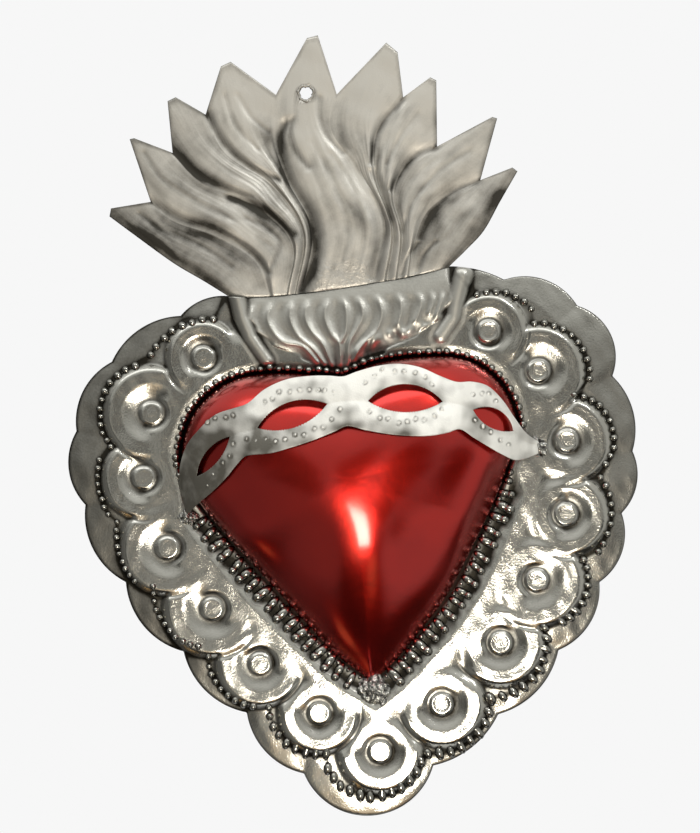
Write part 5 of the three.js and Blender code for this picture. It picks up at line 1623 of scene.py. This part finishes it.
@dataclass(frozen=True)
class AntiquedTin:
    """Tinplate of the frame, embossed, blackened and rubbed bright again.

    The eye gets sharp lights on the polished relief and beads, soft ones on the collar, and a ground that
    is nearly black in the recesses and where shade is painted.

    Attributes:
        bright: sRGB hex code of the rubbed metal.
        stain_and_shade: sRGB hex code of the recesses.
        clouds: blotches of old stain, a thumb wide.
        pepper: fine specks of worn tinplate.
        hammering: hammer marks.
        polishing: polishing marks.
        rim: radius and half width of the thin raised line round each boss, in metres.
        cup: radii between which the speckled cup inside it ends, in metres.
    """

    bright: str = "B4B3AC"
    stain_and_shade: str = "2A2823"
    clouds: float = 90.0
    pepper: float = 1500.0
    hammering: float = 150.0
    polishing: float = 2000.0
    rim: tuple[float, float] = (2.8 * MM, 0.5 * MM)
    cup: tuple[float, float] = (1.6 * MM, 2.6 * MM)

    def boss_masks(self, tree: bpy.types.NodeTree) -> tuple[bpy.types.Node, bpy.types.Node]:
        """Shares of the rim line and the cup of the nearest boss."""
        offset = add_node(tree, ATTRIBUTE, {"attribute_name": "boss_offset"}).outputs["Vector"]
        near = add_node(tree, ATTRIBUTE, {"attribute_name": "boss_near"}).outputs["Fac"]
        away = add_node(tree, "ShaderNodeVectorMath", {"operation": "LENGTH"}, {0: offset}).outputs["Value"]
        from_rim = add_node(tree, MATH, SUBTRACT, {0: away, 1: self.rim[0]})
        from_rim = add_node(tree, MATH, {"operation": "ABSOLUTE"}, {0: from_rim})
        line = add_node(tree, MAP_RANGE, EASED, {0: from_rim, 1: 0.0, 2: self.rim[1], 3: 1.0, 4: 0.0})
        cup = add_node(tree, MAP_RANGE, EASED, {0: away, 1: self.cup[0], 2: self.cup[1], 3: 1.0, 4: 0.0})
        return (
            add_node(tree, MATH, MULTIPLY, {0: line, 1: near}),
            add_node(tree, MATH, MULTIPLY, {0: cup, 1: near}),
        )

    def material(self) -> bpy.types.Material:
        """Node material of the frame and its beads."""
        material, tree = new_material("antiqued_polished_tinplate")
        place = add_node(tree, "ShaderNodeTexCoord").outputs["Object"]
        satin = add_node(tree, ATTRIBUTE, {"attribute_name": "satin"}).outputs["Fac"]
        polish = add_node(tree, ATTRIBUTE, {"attribute_name": "polish"}).outputs["Fac"]
        patterns = ((self.clouds, 4.0, 0.3, 0.7, -0.05, 0.05), (self.pepper, 2.0, 0.35, 0.75, -0.05, 0.08))
        dark = stain_and_shade(tree, place, patterns)
        dark = add_node(tree, MAP_RANGE, {}, {0: dark, 1: 0.0, 2: 1.0, 3: 0.0, 4: 1.0})
        ends = {6: linear(self.bright), 7: linear(self.stain_and_shade)}
        colour = add_node(tree, MIX, BLEND, {0: dark, **ends}).outputs[2]
        roughness = add_node(tree, MAP_RANGE, {}, {0: dark, 1: 0.0, 2: 1.0, 3: 0.18, 4: 0.44})
        duller = add_node(tree, MATH, MULTIPLY, {0: satin, 1: 0.20})
        roughness = add_node(tree, MATH, ADD, {0: roughness, 1: duller})
        sharper = add_node(tree, MATH, MULTIPLY, {0: polish, 1: 0.15})
        roughness = add_node(tree, MATH, SUBTRACT, {0: roughness, 1: sharper})
        rim, cup = self.boss_masks(tree)
        look = {"Vector": place, "Scale": self.hammering, "Detail": 3.0, "Roughness": 0.5}
        ripple = add_node(tree, MATH, MULTIPLY, {0: add_node(tree, NOISE, {}, look), 1: 0.15})
        look = {"Vector": place, "Scale": self.polishing, "Detail": 2.0, "Roughness": 0.55}
        coarse = add_node(tree, MATH, ADD, {0: 0.065, 1: add_node(tree, MATH, MULTIPLY, {0: cup, 1: 0.08})})
        grain = add_node(tree, MATH, MULTIPLY, {0: add_node(tree, NOISE, {}, look), 1: coarse})
        relief = add_node(tree, MATH, ADD, {0: ripple, 1: grain})
        line = add_node(tree, MATH, MULTIPLY, {0: rim, 1: 0.06})
        relief = add_node(tree, MATH, ADD, {0: relief, 1: line})
        close_metal(tree, {"Strength": 0.8, "Distance": 0.0008, "Height": relief},
                    {"Base Color": colour, "Metallic": 1.0, "Roughness": roughness})
        return material


@dataclass(frozen=True)
class SatinTin:
    """Duller tinplate of the crest, brushed along the flames.

    The eye gets soft grey metal with fine streaks that follow each strand, and small dents.

    Attributes:
        bright: sRGB hex code of the brushed metal.
        stain_and_shade: sRGB hex code of the antiquing in the folds and of the painted shade.
        streaks: stretch of the streaks across, along and out of a strand.
        clouds: blotches of old stain.
        pepper: fine specks.
        dents: hammer dents.
        grain: grain of the metal.
    """

    bright: str = "CFCCC4"
    stain_and_shade: str = "3E3C37"
    streaks: tuple[float, float, float] = (16.0, 2.0, 1.0)
    clouds: float = 70.0
    pepper: float = 1700.0
    dents: float = 750.0
    grain: float = 2200.0

    def material(self) -> bpy.types.Material:
        """Node material of the crest and the lip of its nail hole."""
        material, tree = new_material("satin_tinplate")
        place = add_node(tree, "ShaderNodeTexCoord").outputs["Object"]
        hammer = add_node(tree, ATTRIBUTE, {"attribute_name": "hammer"}).outputs["Fac"]
        strand = add_node(tree, ATTRIBUTE, {"attribute_name": "strand_offset"}).outputs["Vector"]
        drawn = add_node(tree, "ShaderNodeMapping", {}, {"Vector": strand, "Scale": self.streaks})
        look = {"Vector": drawn, "Scale": 1.0, "Detail": 3.0, "Roughness": 0.5}
        streak = add_node(tree, NOISE, {}, look)
        brushed = add_node(tree, MAP_RANGE, {}, {0: streak, 1: 0.3, 2: 0.7, 3: -0.06, 4: 0.06})
        patterns = ((self.clouds, 4.0, 0.3, 0.7, -0.06, 0.06), (self.pepper, 2.0, 0.35, 0.75, -0.03, 0.05))
        dark = add_node(tree, MATH, ADD, {0: stain_and_shade(tree, place, patterns), 1: brushed})
        dark = add_node(tree, MAP_RANGE, {}, {0: dark, 1: 0.0, 2: 1.0, 3: 0.0, 4: 1.0})
        ends = {6: linear(self.bright), 7: linear(self.stain_and_shade)}
        colour = add_node(tree, MIX, BLEND, {0: dark, **ends}).outputs[2]
        roughness = add_node(tree, MAP_RANGE, {}, {0: dark, 1: 0.0, 2: 1.0, 3: 0.44, 4: 0.58})
        look = {"Vector": place, "Scale": self.dents, "Detail": 2.0, "Roughness": 0.55}
        deep = add_node(tree, MATH, MULTIPLY, {0: hammer, 1: 0.5})
        dented = add_node(tree, MATH, MULTIPLY, {0: add_node(tree, NOISE, {}, look), 1: deep})
        look = {"Vector": place, "Scale": self.grain, "Detail": 2.0, "Roughness": 0.55}
        grain = add_node(tree, MATH, MULTIPLY, {0: add_node(tree, NOISE, {}, look), 1: 0.05})
        lines = add_node(tree, MATH, MULTIPLY, {0: streak, 1: 0.05})
        relief = add_node(tree, MATH, ADD, {0: lines, 1: grain})
        relief = add_node(tree, MATH, ADD, {0: relief, 1: dented})
        close_metal(tree, {"Strength": 0.7, "Distance": 0.0006, "Height": relief},
                    {"Base Color": colour, "Metallic": 0.9, "Roughness": roughness})
        return material


@dataclass(frozen=True)
class RedLacquer:
    """Translucent red lacquer brushed over tin.

    The eye gets coloured reflections of the metal under a clear, slightly rippled gloss.

    Attributes:
        thin: sRGB hex code where the lacquer is thin.
        thick: sRGB hex code where it is thick.
        clouds: changes of its thickness.
        ripples: ripples of its surface.
    """

    thin: str = "CB2418"
    thick: str = "B41C15"
    clouds: float = 45.0
    ripples: float = 120.0

    def material(self) -> bpy.types.Material:
        """Node material of the raised heart."""
        material, tree = new_material("red_lacquer_on_tin")
        place = add_node(tree, "ShaderNodeTexCoord").outputs["Object"]
        look = {"Vector": place, "Scale": self.clouds, "Detail": 2.0, "Roughness": 0.55}
        cloud = add_node(tree, NOISE, {}, look)
        cloud = add_node(tree, MAP_RANGE, {}, {0: cloud, 1: 0.3, 2: 0.7, 3: 0.0, 4: 1.0})
        ends = {6: linear(self.thin), 7: linear(self.thick)}
        colour = add_node(tree, MIX, BLEND, {0: cloud, **ends}).outputs[2]
        look = {"Vector": place, "Scale": self.ripples, "Detail": 3.0, "Roughness": 0.5}
        ripple = add_node(tree, NOISE, {}, look)
        close_metal(tree, {"Strength": 0.3, "Distance": 0.0004, "Height": ripple}, {
            "Base Color": colour, "Metallic": 1.0, "Roughness": 0.24,
            "Coat Weight": 0.85, "Coat Roughness": 0.13,
        })
        return material


@dataclass(frozen=True)
class PaleTin:
    """Pale tinplate of the band, rubbed to a satin.

    The eye gets a soft, nearly white metal that is greyer with wear and where shade is painted.

    Attributes:
        clean: sRGB hex code of the clean metal.
        wear_and_shade: sRGB hex code where it is worn.
        clouds: patches of wear.
        grain: grain of the metal.
    """

    clean: str = "E6E6E1"
    wear_and_shade: str = "626059"
    clouds: float = 160.0
    grain: float = 1900.0

    def material(self) -> bpy.types.Material:
        """Node material of the band and its dots."""
        material, tree = new_material("pale_satin_tinplate")
        place = add_node(tree, "ShaderNodeTexCoord").outputs["Object"]
        shade = add_node(tree, ATTRIBUTE, {"attribute_name": "shade"}).outputs["Fac"]
        look = {"Vector": place, "Scale": self.clouds, "Detail": 4.0, "Roughness": 0.55}
        cloud = add_node(tree, NOISE, {}, look)
        cloud = add_node(tree, MAP_RANGE, {}, {0: cloud, 1: 0.35, 2: 0.7, 3: -0.12, 4: 0.12})
        wear_and_shade = add_node(tree, MATH, {"operation": "ADD", "use_clamp": True}, {0: shade, 1: cloud})
        ends = {6: linear(self.clean), 7: linear(self.wear_and_shade)}
        colour = add_node(tree, MIX, BLEND, {0: wear_and_shade, **ends}).outputs[2]
        roughness = add_node(tree, MAP_RANGE, {}, {0: wear_and_shade, 1: 0.0, 2: 1.0, 3: 0.55, 4: 0.38})
        look = {"Vector": place, "Scale": self.grain, "Detail": 2.0, "Roughness": 0.55}
        grain = add_node(tree, NOISE, {}, look)
        close_metal(tree, {"Strength": 0.3, "Distance": 0.0002, "Height": grain},
                    {"Base Color": colour, "Metallic": 0.45, "Roughness": roughness})
        return material


@dataclass(frozen=True)
class SolderMetal:
    """Solder that set as it flowed: bright grey metal with a frosted, lumpy skin.

    Attributes:
        hollow: sRGB hex code between the lumps.
        lump: sRGB hex code on the lumps.
        lumps: lumps of the skin.
    """

    hollow: str = "3C3B38"
    lump: str = "CBCBC6"
    lumps: float = 800.0

    def material(self) -> bpy.types.Material:
        """Node material of the solder."""
        material, tree = new_material("solder")
        place = add_node(tree, "ShaderNodeTexCoord").outputs["Object"]
        look = {"Vector": place, "Scale": self.lumps, "Detail": 3.0, "Roughness": 0.6}
        lumps = add_node(tree, NOISE, {}, look)
        share = add_node(tree, MAP_RANGE, {}, {0: lumps, 1: 0.35, 2: 0.6, 3: 0.0, 4: 1.0})
        ends = {6: linear(self.hollow), 7: linear(self.lump)}
        colour = add_node(tree, MIX, BLEND, {0: share, **ends}).outputs[2]
        close_metal(tree, {"Strength": 1.0, "Distance": 0.0008, "Height": lumps},
                    {"Base Color": colour, "Metallic": 1.0, "Roughness": 0.26})
        return material


# Stage


@dataclass(frozen=True)
class Softbox:
    """Rectangular lamp.

    Attributes:
        name: object name.
        place: position in metres.
        aim: point that it faces, in metres.
        size: width and height in metres.
        power: watts.
        colour: linear colour.
    """

    name: str
    place: tuple[float, float, float]
    aim: tuple[float, float, float]
    size: tuple[float, float]
    power: float
    colour: tuple[float, float, float] = (1.0, 1.0, 1.0)

    def build(self) -> None:
        """Adds the lamp to the scene."""
        lamp = bpy.data.lights.new(self.name, "AREA")
        lamp.shape = "RECTANGLE"
        lamp.size, lamp.size_y = self.size
        lamp.energy = self.power
        lamp.color = self.colour
        stand = bpy.data.objects.new(self.name, lamp)
        stand.location = self.place
        towards = Vector(self.aim) - Vector(self.place)
        stand.rotation_euler = towards.to_track_quat("-Z", "Y").to_euler()
        bpy.context.scene.collection.objects.link(stand)


def build_camera() -> None:
    """Camera square to the wall, turned so that the plaque leans to the left as in the picture."""
    lens = bpy.data.cameras.new("camera")
    lens.lens = CAMERA_LENS
    lens.sensor_fit = "VERTICAL"
    lens.sensor_height = CAMERA_SENSOR
    lens.clip_start = 0.01
    camera = bpy.data.objects.new("camera", lens)
    cosine, sine = math.cos(CAMERA_ROLL), math.sin(CAMERA_ROLL)
    turned = Matrix(((cosine, sine, 0), (0, 0, -1), (-sine, cosine, 0))).to_4x4()
    place = (CAMERA_AIM_MM[0] * MM, -CAMERA_DISTANCE, CAMERA_AIM_MM[1] * MM)
    camera.matrix_world = Matrix.Translation(place) @ turned
    bpy.context.scene.collection.objects.link(camera)
    bpy.context.scene.camera = camera


@dataclass(frozen=True)
class RoomPatch:
    """Soft round part of the room in front of the plaque, as the metal mirrors it.

    Attributes:
        towards: direction from the plaque.
        inner: angle in degrees up to which the patch is full.
        outer: angle in degrees at which it has faded out.
        colour: sRGB hex code.
    """

    towards: tuple[float, float, float]
    inner: float
    outer: float
    colour: str

    def share(self, tree: bpy.types.NodeTree, direction: bpy.types.NodeSocket) -> bpy.types.Node:
        """How far each direction lies in the patch, 0 to 1."""
        axis = tuple(Vector(self.towards).normalized())
        settings = {"operation": "DOT_PRODUCT"}
        facing = add_node(tree, "ShaderNodeVectorMath", settings, {0: direction, 1: axis})
        low, high = math.cos(math.radians(self.outer)), math.cos(math.radians(self.inner))
        limits = {1: low, 2: high, 3: 0.0, 4: 1.0}
        return add_node(tree, MAP_RANGE, EASED, {0: facing.outputs["Value"], **limits})


ROOM_PATCHES = [
    RoomPatch((1.0, -0.45, 0.1), 15.0, 50.0, "CFCEC9"),
    RoomPatch((0.0, -0.35, -1.0), 12.0, 44.0, "2A2927"),
    RoomPatch((-1.0, -0.3, -0.1), 20.0, 52.0, "747370"),
    RoomPatch((-0.66, -0.6, -0.44), 8.0, 24.0, "8A8984"),
    RoomPatch((0.64, -0.55, -0.53), 9.0, 21.0, "C8C7C2"),
    RoomPatch((0.0, -1.0, -0.43), 7.0, 16.0, "FFE2BC"),
    RoomPatch((0.3, -1.0, -0.86), 3.0, 9.0, "FFD09A"),
    RoomPatch((0.04, -1.0, 0.0), 3.0, 9.0, "3A3937"),
    RoomPatch((0.44, -1.0, -0.17), 4.0, 10.0, "1C1B1A"),
    RoomPatch((0.97, -1.0, -0.42), 4.0, 12.0, "1C1B1A"),
    RoomPatch((-0.5, -1.0, -0.06), 6.0, 15.0, "50504C"),
    RoomPatch((-0.53, -0.17, -0.83), 3.0, 7.5, "FFD090"),
]


def build_world() -> None:
    """White behind the plaque for the camera and for reflections; a greyer room in front of it."""
    world = bpy.data.worlds.new("studio")
    bpy.context.scene.world = world
    world.use_nodes = True
    tree = world.node_tree
    tree.nodes.clear()
    direction = add_node(tree, "ShaderNodeTexCoord").outputs["Generated"]
    parts = add_node(tree, "ShaderNodeSeparateXYZ", {}, {0: direction})
    limits = {1: 0.25, 2: 0.75, 3: 0.0, 4: 1.0}
    behind = add_node(tree, MAP_RANGE, EASED, {0: parts.outputs[1], **limits})
    limits = {1: -0.8, 2: 0.0, 3: 0.0, 4: 1.0}
    low = add_node(tree, MAP_RANGE, EASED, {0: parts.outputs[2], **limits})
    limits = {1: -0.05, 2: 0.5, 3: 0.0, 4: 1.0}
    high = add_node(tree, MAP_RANGE, EASED, {0: parts.outputs[2], **limits})
    room = add_node(tree, MIX, BLEND, {0: low, 6: linear("33322F"), 7: linear("AEADA8")}).outputs[2]
    room = add_node(tree, MIX, BLEND, {0: high, 6: room, 7: linear("ECECE8")}).outputs[2]
    for patch in ROOM_PATCHES:
        share = patch.share(tree, direction)
        room = add_node(tree, MIX, BLEND, {0: share, 6: room, 7: linear(patch.colour)}).outputs[2]
    seen = add_node(tree, MIX, BLEND, {0: behind, 6: room, 7: linear("F5F5F5")}).outputs[2]
    camera_ray = add_node(tree, "ShaderNodeLightPath").outputs["Is Camera Ray"]
    colour = add_node(tree, MIX, BLEND, {0: camera_ray, 6: seen, 7: linear("F7F7F7")}).outputs[2]
    light = add_node(tree, "ShaderNodeBackground", {}, {"Color": colour, "Strength": 1.0})
    add_node(tree, "ShaderNodeOutputWorld", {}, {"Surface": light.outputs[0]})


def build_floor() -> None:
    """Pale floor well under the plaque, fading to the white of the background at its edge."""
    radius, drop, sides = 0.45, -1.5, 96
    turn = full_turn(sides)
    ring = np.column_stack([radius * np.cos(turn), radius * np.sin(turn), np.full(sides, drop)])
    mesh = bpy.data.meshes.new("floor")
    mesh.from_pydata(ring.tolist(), [], [list(range(sides))])
    material, tree = new_material("pale_floor")
    place = add_node(tree, "ShaderNodeTexCoord").outputs["Object"]
    flat = add_node(tree, "ShaderNodeVectorMath", {"operation": "MULTIPLY"}, {0: place, 1: (1, 1, 0)})
    away = add_node(tree, "ShaderNodeVectorMath", {"operation": "LENGTH"}, {0: flat.outputs[0]})
    limits = {1: 0.12, 2: 0.42, 3: 0.0, 4: 1.0}
    edge = add_node(tree, MAP_RANGE, EASED, {0: away.outputs["Value"], **limits})
    cloth = add_node(tree, "ShaderNodeBsdfDiffuse", {}, {"Color": linear("F2F2F0")})
    glow = add_node(tree, "ShaderNodeEmission", {}, {"Color": linear("F7F7F7"), "Strength": 1.0})
    shader = add_node(tree, "ShaderNodeMixShader", {}, {0: edge, 1: cloth.outputs[0], 2: glow.outputs[0]})
    add_node(tree, "ShaderNodeOutputMaterial", {}, {"Surface": shader})
    mesh.materials.append(material)
    floor = bpy.data.objects.new("floor", mesh)
    bpy.context.scene.collection.objects.link(floor)


SOFTBOXES = [
    Softbox("overhead_window", (-0.05, -0.45, 0.55), (0.0, 0.0, -0.1), (1.1, 0.35), 2.0),
    Softbox("near_lamp", (0.035, -0.40, -0.261), (0.02, 0.0, -0.15), (0.08, 0.11), 0.78, (1.0, 0.94, 0.84)),
    Softbox("hard_lamp", (0.45, -0.60, 0.40), (0.0, 0.0, -0.1), (0.06, 0.06), 1.0),
]


def main() -> None:
    logging.basicConfig(level=logging.INFO, format="%(message)s")
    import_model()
    frame_tin, crest_tin = AntiquedTin().material(), SatinTin().material()
    FrameSheet().build(frame_tin)
    Beads().build(frame_tin)
    Crest().build(crest_tin)
    NailBurr().build(crest_tin)
    HeartShell().build(RedLacquer().material())
    ThornBand().build(PaleTin().material())
    solder = SolderMetal().material()
    for name in SOLDER:
        SolderLump().build(name, solder)
    build_floor()
    build_world()
    build_camera()
    for softbox in SOFTBOXES:
        softbox.build()
    scene = bpy.context.scene
    scene.view_settings.view_transform = "Standard"


if __name__ == "__main__":
    main()
